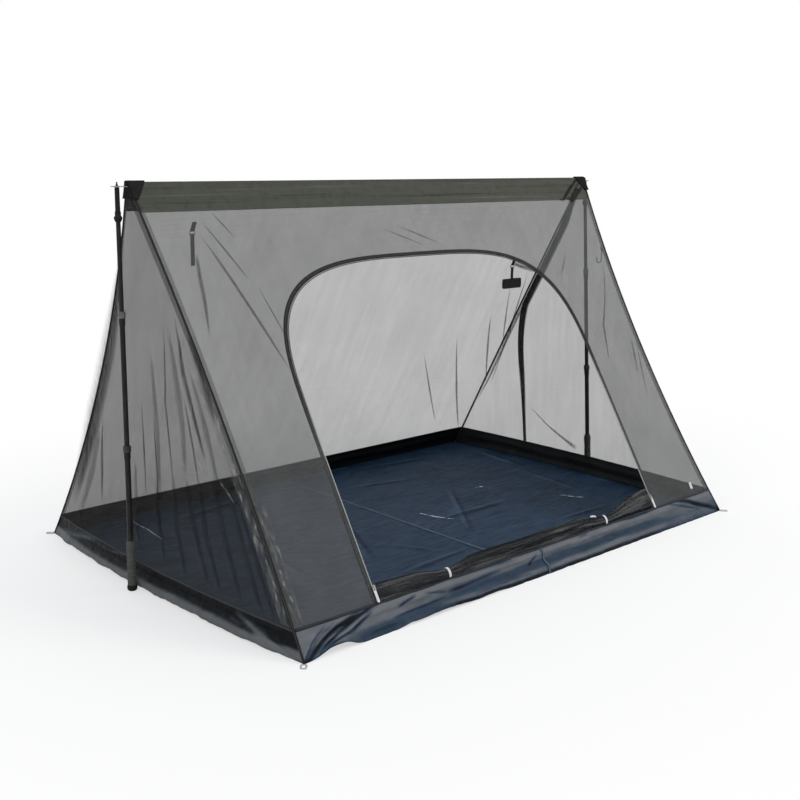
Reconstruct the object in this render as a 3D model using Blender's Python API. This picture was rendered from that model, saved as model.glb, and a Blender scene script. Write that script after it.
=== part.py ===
"""A mosquito net tent: a see-through inner tent on a bathtub floor, held up at its ends by two
telescoping trekking poles that stand upside down.

X runs along the ridge, Y from the door to the back and Z up, in metres. The origin is on the
ground under the middle of the floor.
"""
import math

import bmesh
import bpy
from mathutils import Matrix, Vector

# Overall sizes
floor_length = 2.10
floor_width = 1.46
ridge_height = 1.281
ridge_length = 2.176
ridge_back_shift = 0.059
wall_height = 0.080

# How the edges curve
end_edge_bulge = 0.030
hip_sag_x = 0.038
hip_sag_y = 0.024
end_centre_sag = 0.012
front_flat_share = 0.76
back_flat_share = 0.86

# Fabric
CLEAR = 0.0003
seam_clearance = 0.0008
floor_thickness = 0.0012
net_thickness = 0.0008
band_thickness = 0.0010
patch_thickness = 0.0012
binding_radius = 0.0030
band_drop = 0.090
patch_drop = 0.052
patch_wing = 0.060
seam_tape_width = 0.022
seam_tape_thickness = 0.0006
seam_tape_end = 0.020

# Folds in the fabric
end_fold_depth = 0.007
end_fold_count = 5
wall_fold_depth = 0.006
wall_fold_count = 9
gather_width = 0.026
gather_foot_width = 0.010
gather_thickness = 0.005
gather_hip_inset = 0.026
gather_full_share = 0.60
# How far back the gather hangs, at shares of the ridge's height
gather_line = (
    (0.0, 0.300), (0.25, 0.318), (0.42, 0.330), (0.54, 0.312), (0.71, 0.245), (0.85, 0.160), (1.0, 0.060))

# Door
door_centre_x = -0.035
door_width = 1.40
door_spring = 0.66
door_arch_rise = 0.535
door_arch_power = 3.5
zip_tape_width = 0.0145
zip_tape_thickness = 0.0006
zip_tape_setback = 0.0024
zip_mesh_setback = 0.0090
zip_coil_radius = 0.0020
zip_foot_gap = 0.0040

# Zip slider and its pull
slider_length = 0.0160
slider_half_width = 0.0060
slider_plate = 0.0016
slider_post_width = 0.0030
slider_post_length = 0.0050
slider_rest_height = 0.045
bail_length = 0.0100
bail_width = 0.0024
bail_gap = 0.0032
bail_thickness = 0.0014
pull_length = 0.046
pull_width = 0.0090
pull_thickness = 0.0018
pull_eye_length = 0.0095
pull_rod_radius = 0.0008
pull_arm_share = 0.75

# Rolled door panel and its ties
roll_half_height = 0.026
roll_waist_half_height = 0.017
roll_waist_spread = 0.130
roll_half_depth = 0.0125
roll_end_gap = 0.030
roll_lump_share = 0.10
roll_step_share = 0.14
roll_edge_share = 0.34
tie_width = 0.010
tie_thickness = 0.0012
tie_clearance = 0.0005
tie_offset = 0.400
tie_start_angle = -56
tie_wrap_angle = 292

# Ridge tab, eyelet and corner loops
tab_width = 0.026
tab_thickness = 0.0020
tab_below_ridge = 0.0150
tab_margin = 0.0060
eyelet_bore = 0.0050
eyelet_wall = 0.0011
eyelet_flange = 0.0090
eyelet_flange_thickness = 0.0008
loop_length = 0.030
loop_width = 0.020
loop_strap = 0.0050
loop_thickness = 0.0016
loop_round_share = 0.6

# Hang tabs inside the back panel, what hangs from them, and the hook on the front right hip
hang_left_x = -0.81
hang_left_drop = 0.161
hang_right_x = 0.88
hang_right_drop = 0.376
hang_tab_width = 0.016
hang_tab_length = 0.030
hang_tab_thickness = 0.0024
ring_radius = 0.0055
ring_wire = 0.0011
ring_round_share = 0.35
hang_strap_length = 0.100
hang_strap_width = 0.014
hang_strap_thickness = 0.0020
block_width = 0.115
block_height = 0.040
block_thickness = 0.014
block_drop = 0.048
hook_loop_reach = 0.009
hook_loop_tuck = 0.0011
hook_loop_inset = 0.0012
hook_loop_sink = 0.0022
hook_shank = 0.040
hook_bend_radius = 0.0150
hook_wire = 0.0017
hip_hook_drop = 0.279
hook_eye_start = -50
hook_eye_wrap = 300

# Trekking poles
left_pole_standoff = 0.033
right_pole_standoff = 0.018
right_foot_forward = 0.090
shoulder_gap = 0.0008
shaft_radius = 0.0090
shaft_wall = 0.0007
slide_gap = 0.0003
upper_mouth_share = 0.360
middle_mouth_share = 0.692
shaft_insertion = 0.080
head_cap_height = 0.018
head_cap_radius = 0.0165
head_cap_foot = 0.0119
grip_length = 0.148
grip_radius = 0.0145
grip_rib_depth = 0.0014
grip_rib_count = 6
collet_sleeve = 0.022
collet_jaw = 0.018
collet_wall = 0.0016
collet_slot = 0.0016
nut_wall = 0.0022
nut_flute_depth = 0.0008
nut_flute_count = 12
basket_collar_height = 0.030
basket_collar_radius = 0.0125
ferrule_length = 0.070
ferrule_shoulder_radius = 0.0072
ferrule_neck_radius = 0.0040
tip_show = 0.0120
tip_radius = 0.0022

# Counts
pole_sides = 16
hip_steps = 16
slope_steps = 8

slope_run_front = floor_width / 2 + ridge_back_shift
slope_length_front = math.hypot(slope_run_front, ridge_height)
up_front = Vector((0, slope_run_front, ridge_height)) / slope_length_front
out_front = Vector((0, -ridge_height, slope_run_front)) / slope_length_front
slope_run_back = floor_width / 2 - ridge_back_shift
slope_length_back = math.hypot(slope_run_back, ridge_height)
out_back = Vector((0, ridge_height, slope_run_back)) / slope_length_back
wall_share = wall_height / ridge_height
band_share = 1 - band_drop / ridge_height
patch_share = 1 - patch_drop / ridge_height
seam_share = seam_clearance / ridge_height
door_half = door_width / 2
sill = wall_share * slope_length_front
floor_reach = floor_length / 2 + end_edge_bulge
pole_reach = floor_reach + head_cap_radius + CLEAR
left_pole_x = max(ridge_length / 2 + left_pole_standoff, pole_reach)
right_pole_x = max(ridge_length / 2 + right_pole_standoff, pole_reach)
tab_middle = ridge_height - tab_below_ridge
FRONT, BACK = -1, 1
LEFT, RIGHT = -1, 1


def clear_scene():
    """Removes whatever the open file holds."""
    for obj in list(bpy.data.objects):
        bpy.data.objects.remove(obj, do_unlink=True)


def material(name, colour, roughness, metallic=0.0):
    """Makes one plain surface finish."""
    made = bpy.data.materials.new(name)
    made.use_nodes = True
    shader = made.node_tree.nodes["Principled BSDF"]
    shader.inputs["Base Color"].default_value = (*colour, 1)
    shader.inputs["Roughness"].default_value = roughness
    shader.inputs["Metallic"].default_value = metallic
    made.diffuse_color = (*colour, 1)
    return made


def add_object(name, data, finish):
    """Puts one named object in the scene."""
    obj = bpy.data.objects.new(name, data)
    bpy.context.scene.collection.objects.link(obj)
    if not data.materials:
        data.materials.append(finish)
    return obj


def mesh_from(name, points, faces):
    """Makes a mesh from points and faces, with its faces turned outwards."""
    data = bpy.data.meshes.new(name)
    data.from_pydata([tuple(p) for p in points], [], faces)
    shape = bmesh.new()
    shape.from_mesh(data)
    bmesh.ops.recalc_face_normals(shape, faces=shape.faces)
    shape.to_mesh(data)
    shape.free()
    return data


def sheet(name, rows, thickness, finish):
    """Turns a grid of points into a sheet of cloth with a thickness."""
    across = len(rows[0])
    points = [p for row in rows for p in row]
    faces = []
    for r in range(len(rows) - 1):
        for c in range(across - 1):
            a = r * across + c
            faces.append((a, a + 1, a + across + 1, a + across))
    obj = add_object(name, mesh_from(name, points, faces), finish)
    thicken(obj, thickness)
    obj.data.shade_smooth()
    return obj


def thicken(obj, thickness):
    """Gives an open surface its thickness, half to each side."""
    solid = obj.modifiers.new("Thickness", "SOLIDIFY")
    solid.thickness = thickness
    solid.offset = 0


def loft(name, rings, finish, closed=False):
    """Skins a row of rings of points, with flat ends unless the row closes on itself."""
    around = len(rings[0])
    points = [p for ring in rings for p in ring]
    faces = []
    spans = len(rings) if closed else len(rings) - 1
    for r in range(spans):
        start, after = r * around, (r + 1) % len(rings) * around
        for c in range(around):
            d = (c + 1) % around
            faces.append((start + c, start + d, after + d, after + c))
    if not closed:
        faces.append(tuple(range(around))[::-1])
        faces.append(tuple(range((len(rings) - 1) * around, len(rings) * around)))
    return add_object(name, mesh_from(name, points, faces), finish)


def turned(name, profile, sides=pole_sides, flute=None):
    """Turns a closed outline of (radius, height) points round Z. A flute changes the radius by angle."""
    rings = []
    for i in range(sides):
        angle = math.tau * i / sides
        ring = []
        for radius, height, fluted in [(*p, False) if len(p) == 2 else p for p in profile]:
            r = radius - (flute(angle) if flute and fluted else 0)
            ring.append(Vector((r * math.cos(angle), r * math.sin(angle), height)))
        rings.append(ring)
    around = len(profile)
    points = [p for ring in rings for p in ring]
    faces = []
    for i in range(sides):
        start, after = i * around, (i + 1) % sides * around
        for c in range(around):
            d = (c + 1) % around
            faces.append((start + c, start + d, after + d, after + c))
    shape = bmesh.new()
    data = mesh_from(name, points, faces)
    shape.from_mesh(data)
    bmesh.ops.remove_doubles(shape, verts=shape.verts, dist=CLEAR / 100)
    bmesh.ops.recalc_face_normals(shape, faces=shape.faces)
    shape.to_mesh(data)
    shape.free()
    data.shade_smooth()
    data.set_sharp_from_angle(angle=math.radians(35))
    return data


def cord_curve(name, path, radius, closes=False, resolution=2):
    """A round cord along a path, as a curve with a bevel."""
    data = bpy.data.curves.new(name, "CURVE")
    data.dimensions = "3D"
    data.bevel_depth = radius
    data.bevel_resolution = resolution
    data.use_fill_caps = True
    spline = data.splines.new("POLY")
    spline.points.add(len(path) - 1)
    for point, place in zip(spline.points, path):
        point.co = (*place, 1)
    spline.use_cyclic_u = closes
    return data


def tube(name, path, radius, finish, closes=False, resolution=2):
    """Makes a round cord along a path."""
    return add_object(name, cord_curve(name, path, radius, closes, resolution), finish)


def cord_mesh(name, path, radius, closes=False, resolution=2):
    """The same round cord, as a mesh."""
    scratch = bpy.data.objects.new(name, cord_curve(name, path, radius, closes, resolution))
    bpy.context.scene.collection.objects.link(scratch)
    bpy.context.view_layer.update()
    data = bpy.data.meshes.new_from_object(scratch.evaluated_get(bpy.context.evaluated_depsgraph_get()))
    bpy.data.objects.remove(scratch, do_unlink=True)
    return data


def box_mesh(low, high):
    """A box between two corners."""
    shape = bmesh.new()
    bmesh.ops.create_cube(shape, size=1)
    middle = (Vector(low) + Vector(high)) / 2
    for v in shape.verts:
        v.co = Vector(a * (h - l) for a, l, h in zip(v.co, low, high)) + middle
    data = bpy.data.meshes.new("box")
    shape.to_mesh(data)
    shape.free()
    return data


def combined(name, base, others, operation):
    """Joins meshes to a base, or cuts them from it, and returns the finished mesh."""
    scratch = bpy.data.objects.new(name, base)
    bpy.context.scene.collection.objects.link(scratch)
    tools = []
    for other in others:
        tool = bpy.data.objects.new("tool", other)
        bpy.context.scene.collection.objects.link(tool)
        tools.append(tool)
        cut = scratch.modifiers.new("Combine", "BOOLEAN")
        cut.operation = operation
        cut.object = tool
    bpy.context.view_layer.update()
    graph = bpy.context.evaluated_depsgraph_get()
    finished = bpy.data.meshes.new_from_object(scratch.evaluated_get(graph))
    finished.name = name
    for obj in [scratch, *tools]:
        bpy.data.objects.remove(obj, do_unlink=True)
    return finished


def mix(a, b, share):
    """The value or point a share of the way from a to b."""
    return a + (b - a) * share


def bow(t):
    """A shallow arch that is 1 halfway and 0 at both ends."""
    return 4 * t * (1 - t)


# The shape of the tent, which every panel, seam and trim below is read from

def hip_x(t):
    """How far from the middle the hips are, at a share t of the ridge's height."""
    return mix(floor_length / 2, ridge_length / 2, t) - hip_sag_x * bow(t)


def slope_point(side, u, t, lift=0.0):
    """A point on the front or back slope: u is -1 at the left hip and 1 at the right one."""
    flat = front_flat_share if side == FRONT else back_flat_share
    pull = max(0, (abs(u) - flat) / (1 - flat)) ** 2
    y = mix(side * floor_width / 2, ridge_back_shift, t) - side * hip_sag_y * bow(t) * pull
    out = out_front if side == FRONT else out_back
    return Vector((u * hip_x(t), y, t * ridge_height)) + out * lift


def hip_point(end, side, t):
    """A point on the seam between a slope and an end."""
    return slope_point(side, end, t)


def end_point(end, v, t, fold=0.0):
    """A point on the left or right end: v is -1 at the front hip and 1 at the back one."""
    front, back = hip_point(end, FRONT, t), hip_point(end, BACK, t)
    straight = mix(floor_length / 2 + end_edge_bulge, ridge_length / 2, t)
    centre = straight - end_centre_sag * bow(t)
    x = hip_x(t) + (centre - hip_x(t)) * (1 - v * v) + fold
    return Vector((end * x, mix(front.y, back.y, (v + 1) / 2), t * ridge_height))


def door_front(x, s, lift=0.0):
    """A point of the front slope at a place x and a distance s up the slope."""
    t = s / slope_length_front
    return slope_point(FRONT, x / hip_x(t), t, lift)


def steps(low, high, count):
    """Evenly spaced values from low to high."""
    return [mix(low, high, i / count) for i in range(count + 1)]


# Floor and bathtub walls

def outline_plate(name, outline, low, high, finish):
    """Raises a flat outline to a plate."""
    rings = [[Vector((p.x, p.y, z)) for p in outline] for z in (low, high)]
    return loft(name, rings, finish)


def make_floor(finish, tape_finish):
    """Two floor panels that meet at a seam across the middle, with a tape over it."""
    seam_x = CLEAR / 2
    for end, name in ((LEFT, "floor_left"), (RIGHT, "floor_right")):
        far = [end_point(end, v, 0) for v in steps(-1, 1, 12)]
        near = [Vector((end * seam_x, far[-1].y, 0)), Vector((end * seam_x, far[0].y, 0))]
        outline_plate(name, far + near, 0, floor_thickness, finish)
    half = floor_width / 2 - seam_tape_end
    low = floor_thickness + CLEAR
    rim = seam_tape_width / 2
    tape = [Vector((x, y, 0)) for x, y in ((-rim, -half), (rim, -half), (rim, half), (-rim, half))]
    outline_plate("floor_seam_tape", tape, low, low + seam_tape_thickness, tape_finish)


def wall_fold(w, h):
    """How far a bathtub wall stands out of its plane: soft folds that fade to its hem and its top."""
    corner_weight = 0.25 + 0.75 * abs(2 * w - 1)
    wave = math.sin(math.tau * wall_fold_count * w) * math.sin(math.pi * h)
    return wall_fold_depth * corner_weight * wave


def make_walls(finish):
    """The four walls, from the floor's edge up to the foot of the net."""
    fold_lean = wall_fold_depth * math.pi / wall_height
    inset = binding_radius + seam_clearance
    high_t = wall_share - seam_share

    def hem_share(lean):
        """How high the middle of a leaning wall's hem lies, so that its lower corner rests on the floor."""
        return (floor_thickness + CLEAR + floor_thickness / 2 * (lean + fold_lean)) / ridge_height

    for side, name in ((FRONT, "wall_front"), (BACK, "wall_back")):
        rows = []
        low_t = hem_share(out_front.z if side == FRONT else out_back.z)
        for h in steps(0, 1, 4):
            t = mix(low_t, high_t, h)
            edge = 1 - inset / hip_x(t)
            across = steps(-edge, edge, 28)
            rows.append([slope_point(side, u, t, wall_fold((u + 1) / 2, h)) for u in across])
        sheet(name, rows, floor_thickness, finish)
    for end, name in ((LEFT, "wall_left"), (RIGHT, "wall_right")):
        rows = []
        low_t = hem_share(0)
        for h in steps(0, 1, 4):
            t = mix(low_t, high_t, h)
            edge = 1 - inset / (hip_point(end, BACK, t).y - hip_point(end, FRONT, t).y) * 2
            rows.append([end_point(end, v, t, wall_fold((v + 1) / 2, h)) for v in steps(-edge, edge, 22)])
        sheet(name, rows, floor_thickness, finish)


# Net panels

def door_directions():
    """Directions from the middle of the door's arch, from the left leg over the top to the right one.
    Two of them point at the upper corners of the front panel."""
    top = band_share * slope_length_front - door_spring
    corners = [math.atan2(top, end * hip_x(band_share) - door_centre_x) for end in (RIGHT, LEFT)]
    even = [math.pi * i / 28 for i in range(29)]
    kept = [a for a in even if all(abs(a - c) > math.pi / 60 for c in corners)]
    return sorted(kept + corners, reverse=True)


def door_path(grow, foot=0.0):
    """The door's outline, grown by a distance, as (x, distance up the slope) points."""
    half, rise = door_half + grow, door_arch_rise + grow
    start = sill + foot
    legs = steps(start, door_spring, 5)[:-1]
    points = [(door_centre_x - half, s) for s in legs]
    for angle in door_directions():
        dx, ds = math.cos(angle), max(math.sin(angle), 0)
        power = door_arch_power
        reach = (abs(dx / half) ** power + (ds / rise) ** power) ** (-1 / power)
        points.append((door_centre_x + dx * reach, door_spring + ds * reach))
    return points + [(door_centre_x + half, s) for s in legs[::-1]]


def front_rim(foot):
    """The outer edge of the front net panel, one point for each point of the door's outline."""
    inset = binding_radius + seam_clearance
    top = band_share * slope_length_front - seam_clearance
    legs = steps(sill + foot, door_spring, 5)[:-1]
    edge = [hip_x(s / slope_length_front) - inset for s in legs]
    points = [(-x, s) for x, s in zip(edge, legs)]
    for angle in door_directions():
        dx, ds = math.cos(angle), max(math.sin(angle), 0)
        reach = (top - door_spring) / ds if ds > 1e-6 else floor_length
        for _ in range(30):
            t = (door_spring + ds * reach) / slope_length_front
            limit = hip_x(min(t, 1)) - inset
            if abs(door_centre_x + dx * reach) > limit:
                reach = (math.copysign(limit, dx) - door_centre_x) / dx
        points.append((door_centre_x + dx * reach, door_spring + ds * reach))
    return points + [(x, s) for x, s in zip(edge[::-1], legs[::-1])]


def make_front_net(finish):
    """The front panel, with the arched door opening."""
    outer, inner = front_rim(seam_clearance), door_path(zip_mesh_setback, seam_clearance)
    rows = []
    for share in (0, 0.12, 0.3, 0.6, 1):
        line = [(mix(a[0], b[0], share), mix(a[1], b[1], share)) for a, b in zip(outer, inner)]
        rows.append([door_front(x, s) for x, s in line])
    sheet("net_front", rows, net_thickness, finish)


def make_back_net(finish):
    """The back panel, one piece from wall to ridge band."""
    inset = binding_radius + seam_clearance
    rim = (1 - back_flat_share) / 2
    places = [0, rim / 3, 2 * rim / 3, rim, 0.3, 0.5, 0.7, 1 - rim, 1 - 2 * rim / 3, 1 - rim / 3, 1]
    rows = []
    for t in steps(wall_share + seam_share, band_share - seam_share, slope_steps):
        edge = 1 - inset / hip_x(t)
        rows.append([slope_point(BACK, mix(-edge, edge, w), t) for w in places])
    sheet("net_back", rows, net_thickness, finish)


def end_fold(v, h, reach):
    """How far an end panel stands out: slack folds that hang from the peak and fade towards the wall."""
    swell = math.sin(math.pi * min(h * 1.15, 1)) if h < 0.87 else 0
    window = max(0, 1 - (v / reach) ** 2) if abs(v) < reach else 0
    return end_fold_depth * swell * window * math.sin(math.pi * end_fold_count * v)


def make_end_nets(finish):
    """The two end panels, slack and falling in folds."""
    inset = binding_radius + seam_clearance
    for end, name, reach in ((LEFT, "net_left_end", 0.95), (RIGHT, "net_right_end", 0.30)):
        rows = []
        for h in steps(0, 1, 11):
            t = mix(wall_share + seam_share, patch_share - seam_share, h)
            wide = hip_point(end, BACK, t).y - hip_point(end, FRONT, t).y
            edge = 1 - 2 * inset / wide
            rows.append([end_point(end, v, t, end_fold(v, h, reach)) for v in steps(-edge, edge, 20)])
        sheet(name, rows, net_thickness, finish)


def along_line(line, at):
    """The value of a smooth line through (place, value) pairs."""
    last = len(line) - 1
    i = next((k for k in range(last) if at <= line[k + 1][0]), last - 1)
    before, start, stop, after = line[max(i - 1, 0)], line[i], line[i + 1], line[min(i + 2, last)]
    span = stop[0] - start[0]
    q = (at - start[0]) / span
    rise_in = (stop[1] - before[1]) / (stop[0] - before[0]) * span
    rise_out = (after[1] - start[1]) / (after[0] - start[0]) * span
    fade = q * q * (3 - 2 * q)
    return mix(start[1], stop[1], fade) + q * (1 - q) * ((1 - q) * rise_in - q * rise_out)


def make_gather(finish):
    """The thick fold of spare net in the right end: it follows the back hip and then drops to the wall."""
    rings = []
    foot_t, head_t = wall_share + seam_share * 2, patch_share - seam_share * 6
    for share in steps(0, 1, 16):
        t = mix(foot_t, head_t, share)
        front, back = hip_point(RIGHT, FRONT, t).y, hip_point(RIGHT, BACK, t).y
        y = min(back - gather_hip_inset * min(1, (1 - t) * 6), along_line(gather_line, t))
        width = mix(gather_foot_width, gather_width, min(1, t / gather_full_share)) * min(1, (1 - t) * 7)
        v = 2 * (y - front) / (back - front) - 1
        inside = -(net_thickness / 2 + seam_clearance + gather_thickness / 2)
        ring = []
        for i in range(8):
            angle = math.tau * i / 8
            depth = inside + gather_thickness / 2 * math.sin(angle)
            ring.append(end_point(RIGHT, v + width * math.cos(angle) / (back - front), t, depth))
        rings.append(ring)
    loft("net_gather", rings, finish)


# Ridge band, bindings and apex patches

def make_ridge_band(finish):
    """One strip of solid cloth folded over the ridge."""
    inset = binding_radius + seam_clearance
    crest = band_thickness / ridge_height * 2
    rows = []
    front_heights, back_heights = steps(band_share, 1 - crest, 3), steps(1 - crest, band_share, 3)
    for side, heights in ((FRONT, front_heights), (BACK, back_heights)):
        for t in heights:
            edge = 1 - inset / hip_x(t)
            rows.append([slope_point(side, u, t) for u in steps(-edge, edge, 14)])
    sheet("ridge_band", rows, band_thickness, finish)


def make_bindings(finish):
    """The rolled seam along each hip, from the ground corner to the peak."""
    for side, side_name in ((FRONT, "front"), (BACK, "back")):
        for end, end_name in ((LEFT, "left"), (RIGHT, "right")):
            heights = steps(wall_share / 5, 1 - 2 * wall_share / 5, hip_steps)
            path = [hip_point(end, side, t) for t in heights]
            tube(f"hip_binding_{side_name}_{end_name}", path, binding_radius, finish, False, 1)


def make_apex_patches(finish):
    """Solid cloth that wraps each end of the ridge."""
    wing_lift = band_thickness / 2 + CLEAR + patch_thickness / 2
    crest_lift = wing_lift / (slope_run_front / slope_length_front)
    face_out = binding_radius + CLEAR + patch_thickness / 2
    for end, name in ((LEFT, "apex_patch_left"), (RIGHT, "apex_patch_right")):
        points, faces = [], []
        heights = steps(patch_share, 1, 3)
        for t in heights[:-1]:
            up = (t - patch_share) / (1 - patch_share)
            x_in = end * (ridge_length / 2 - patch_wing * mix(0.35, 1, up))
            x_out = end * (hip_x(t) + face_out)
            for side, x in ((FRONT, x_in), (FRONT, x_out), (BACK, x_out), (BACK, x_in)):
                spread = slope_point(side, x / hip_x(t), t, 0).y
                flat = mix(side * floor_width / 2, ridge_back_shift, t)
                run = slope_run_front if side == FRONT else slope_run_back
                out_y = side * wing_lift * math.hypot(run, ridge_height) / ridge_height
                extra = side * (face_out if x == x_out else 0)
                place_y = (flat if x == x_out else spread) + out_y + extra
                points.append(Vector((x, place_y, t * ridge_height)))
        base = len(points)
        top = ridge_height + crest_lift
        points.append(Vector((end * (ridge_length / 2 - patch_wing), ridge_back_shift, top)))
        points.append(Vector((end * (ridge_length / 2 + face_out), ridge_back_shift, top)))
        for r in range(len(heights) - 2):
            a = r * 4
            for c in range(3):
                faces.append((a + c, a + c + 1, a + c + 5, a + c + 4))
        a = base - 4
        faces.append((a, a + 1, base + 1, base))
        faces.append((a + 1, a + 2, base + 1))
        faces.append((a + 2, a + 3, base, base + 1))
        obj = add_object(name, mesh_from(name, points, faces), finish)
        thicken(obj, patch_thickness)


def make_tabs(web_finish, metal_finish):
    """A webbing tab at each end of the ridge, with the eyelet that the pole's tip goes through."""
    hole = eyelet_bore + eyelet_wall + CLEAR
    barrel = eyelet_bore + eyelet_wall
    low, high = tab_middle - tab_thickness / 2, tab_middle + tab_thickness / 2
    root = hip_x(tab_middle / ridge_height) + binding_radius + CLEAR + patch_thickness + seam_clearance
    flange_low, flange_high = low - CLEAR - eyelet_flange_thickness, high + CLEAR + eyelet_flange_thickness
    profile = [
        (eyelet_bore, flange_low), (eyelet_flange, flange_low), (eyelet_flange, low - CLEAR),
        (barrel, low - CLEAR), (barrel, high + CLEAR), (eyelet_flange, high + CLEAR),
        (eyelet_flange, flange_high), (eyelet_bore, flange_high),
    ]
    sides = 20
    for end, word, pole_x in ((LEFT, "left", left_pole_x), (RIGHT, "right", right_pole_x)):
        tip = pole_x + eyelet_flange + tab_margin
        loops = [[], [], [], []]
        for i in range(sides):
            angle = math.tau * i / sides
            dx, dy = math.cos(angle), math.sin(angle)
            along = (tip - pole_x if dx > 0 else pole_x - root) / max(abs(dx), 1e-6)
            reach = min(tab_width / 2 / max(abs(dy), 1e-6), along)
            for loop, r, z in ((0, reach, low), (1, reach, high), (2, hole, high), (3, hole, low)):
                loops[loop].append(Vector((end * (pole_x + dx * r), ridge_back_shift + dy * r, z)))
        loft(f"ridge_tab_{word}", loops, web_finish, closed=True)
        name = f"ridge_eyelet_{word}"
        eyelet = add_object(name, turned(name, profile, 16), metal_finish)
        eyelet.location = (end * pole_x, ridge_back_shift, 0)


def make_corner_loops(finish):
    """A flat webbing loop at each corner of the floor, for a ground peg."""
    sides = 16
    for end, end_name in ((LEFT, "left"), (RIGHT, "right")):
        for side, side_name in ((FRONT, "front"), (BACK, "back")):
            corner = Vector((end * floor_length / 2, side * floor_width / 2, 0))
            away = Vector((end, side, 0)).normalized()
            across = Vector((-away.y, away.x, 0))
            centre = corner + away * (loop_length / 2 + CLEAR)
            rings = []
            for shrink, z in ((0, 0), (0, loop_thickness), (loop_strap, loop_thickness), (loop_strap, 0)):
                half, wide = loop_length / 2 - shrink, loop_width / 2 - shrink
                ring = []
                for i in range(sides):
                    a, b = math.cos(math.tau * i / sides), math.sin(math.tau * i / sides)
                    along = half * math.copysign(abs(a) ** loop_round_share, a)
                    over = wide * math.copysign(abs(b) ** loop_round_share, b)
                    ring.append(centre + away * along + across * over + Vector((0, 0, z)))
                rings.append(ring)
            loft(f"corner_loop_{side_name}_{end_name}", rings, finish, closed=True)


# Door: zip, sliders, pulls, rolled panel and ties

tape_lift = net_thickness / 2 + CLEAR + zip_tape_thickness / 2


def make_zip(tape_finish, coil_finish):
    """The half of the zip that stays on the tent: its tape over the net's edge, and its coil."""
    near = door_path(zip_tape_setback, zip_foot_gap)
    far = door_path(zip_tape_setback + zip_tape_width, zip_foot_gap)
    rows = [[door_front(x, s, tape_lift) for x, s in line] for line in (near, far)]
    sheet("zip_tape", rows, zip_tape_thickness, tape_finish)
    coil = [door_front(x, s, tape_lift) for x, s in door_path(0, zip_foot_gap)]
    tube("zip_coil", coil, zip_coil_radius, coil_finish, False, 1)


def slope_matrix(x, s, lift):
    """Places a piece on the front slope, with Y up the slope and Z out of it."""
    place = door_front(x, s, lift)
    turn = Matrix((Vector((1, 0, 0)), up_front, out_front)).transposed()
    return Matrix.Translation(place) @ turn.to_4x4()


def slider_mesh(name, opening):
    """A zip slider: two plates round the coil, a post between them and a bail on top."""
    gap = zip_coil_radius + CLEAR
    half = slider_length / 2
    inner = -zip_coil_radius - CLEAR * 2
    edges = sorted((opening * (slider_half_width + slider_post_width), -opening * slider_half_width * 0.8))
    top = box_mesh((edges[0], -half, gap), (edges[1], half, gap + slider_plate))
    base = box_mesh((edges[0], -half, -gap - slider_plate), (edges[1], half, -gap))
    post_far, post_near = opening * (slider_post_width - inner), -opening * inner
    posts = sorted((post_near, post_far))
    lap = slider_plate / 2
    post = box_mesh((posts[0], half - slider_post_length, -gap - lap), (posts[1], half - lap, gap + lap))
    deck = gap + slider_plate
    side = bail_width / 2
    reach = bail_length / 2
    feet = [
        box_mesh((-side, -reach, deck - lap), (side, -reach + bail_thickness, deck + bail_gap + lap)),
        box_mesh((-side, reach - bail_thickness, deck - lap), (side, reach, deck + bail_gap + lap)),
    ]
    bar = box_mesh((-side, -reach, deck + bail_gap), (side, reach, deck + bail_gap + bail_thickness))
    return combined(name, top, [base, post, *feet, bar], "UNION")


def pull_mesh(name):
    """A zip pull: a flat tab with an eye, whose crossbar turns under the slider's bail."""
    half = pull_width / 2
    rod = pull_rod_radius
    eye = half - (half - bail_width / 2 - CLEAR * 2) * 0.55
    plate = []
    for z in (-pull_thickness / 2, pull_thickness / 2):
        ring = [Vector((-half, rod * pull_arm_share, z)), Vector((-half, -pull_length + half, z))]
        for i in range(1, 8):
            angle = math.pi * i / 8
            ring.append(Vector((-half * math.cos(angle), -pull_length + half - half * math.sin(angle), z)))
        ring += [Vector((half, -pull_length + half, z)), Vector((half, rod * pull_arm_share, z))]
        plate.append(ring)
    around = len(plate[0])
    faces = [tuple(range(around))[::-1], tuple(range(around, 2 * around))]
    faces += [(c, (c + 1) % around, around + (c + 1) % around, around + c) for c in range(around)]
    body = mesh_from(name, plate[0] + plate[1], faces)
    cutter = box_mesh((-eye, -pull_eye_length, -pull_thickness), (eye, rod * 2, pull_thickness))
    body = combined(name, body, [cutter], "DIFFERENCE")
    bar = box_mesh((-half, -rod, -rod), (half, rod, rod))
    return combined(name, body, [bar], "UNION")


def make_sliders(metal_finish, pull_finish):
    """One slider at the foot of each leg of the door, with its pull hanging down the slope."""
    rod_lift = tape_lift + zip_coil_radius + CLEAR + slider_plate + bail_gap / 2
    for end, word in ((LEFT, "left"), (RIGHT, "right")):
        x = door_centre_x + end * door_half
        slider = add_object(f"zip_slider_{word}", slider_mesh(f"zip_slider_{word}", -end), metal_finish)
        slider.matrix_world = slope_matrix(x, sill + slider_rest_height, tape_lift)
        pull = add_object(f"zip_pull_{word}", pull_mesh(f"zip_pull_{word}"), pull_finish)
        pull.matrix_world = slope_matrix(x, sill + slider_rest_height, rod_lift)


def roll_size(x):
    """Half the height of the rolled panel, which the two ties draw in to a waist."""
    nearest = min(abs(x - door_centre_x - end * tie_offset) for end in (LEFT, RIGHT))
    q = min(1, max(0, (nearest - tie_width) / roll_waist_spread))
    return mix(roll_waist_half_height, roll_half_height, q * q * (3 - 2 * q))


def roll_point(x, angle, swell=1.0, out=0.0):
    """A point round the roll at a place x: angle 0 faces outwards, 90 degrees up the slope."""
    high = roll_size(x)
    s = sill + high + CLEAR - seam_clearance + (high * swell + out) * math.sin(angle)
    return door_front(x, s, (roll_half_depth * swell + out) * math.cos(angle))


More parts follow.
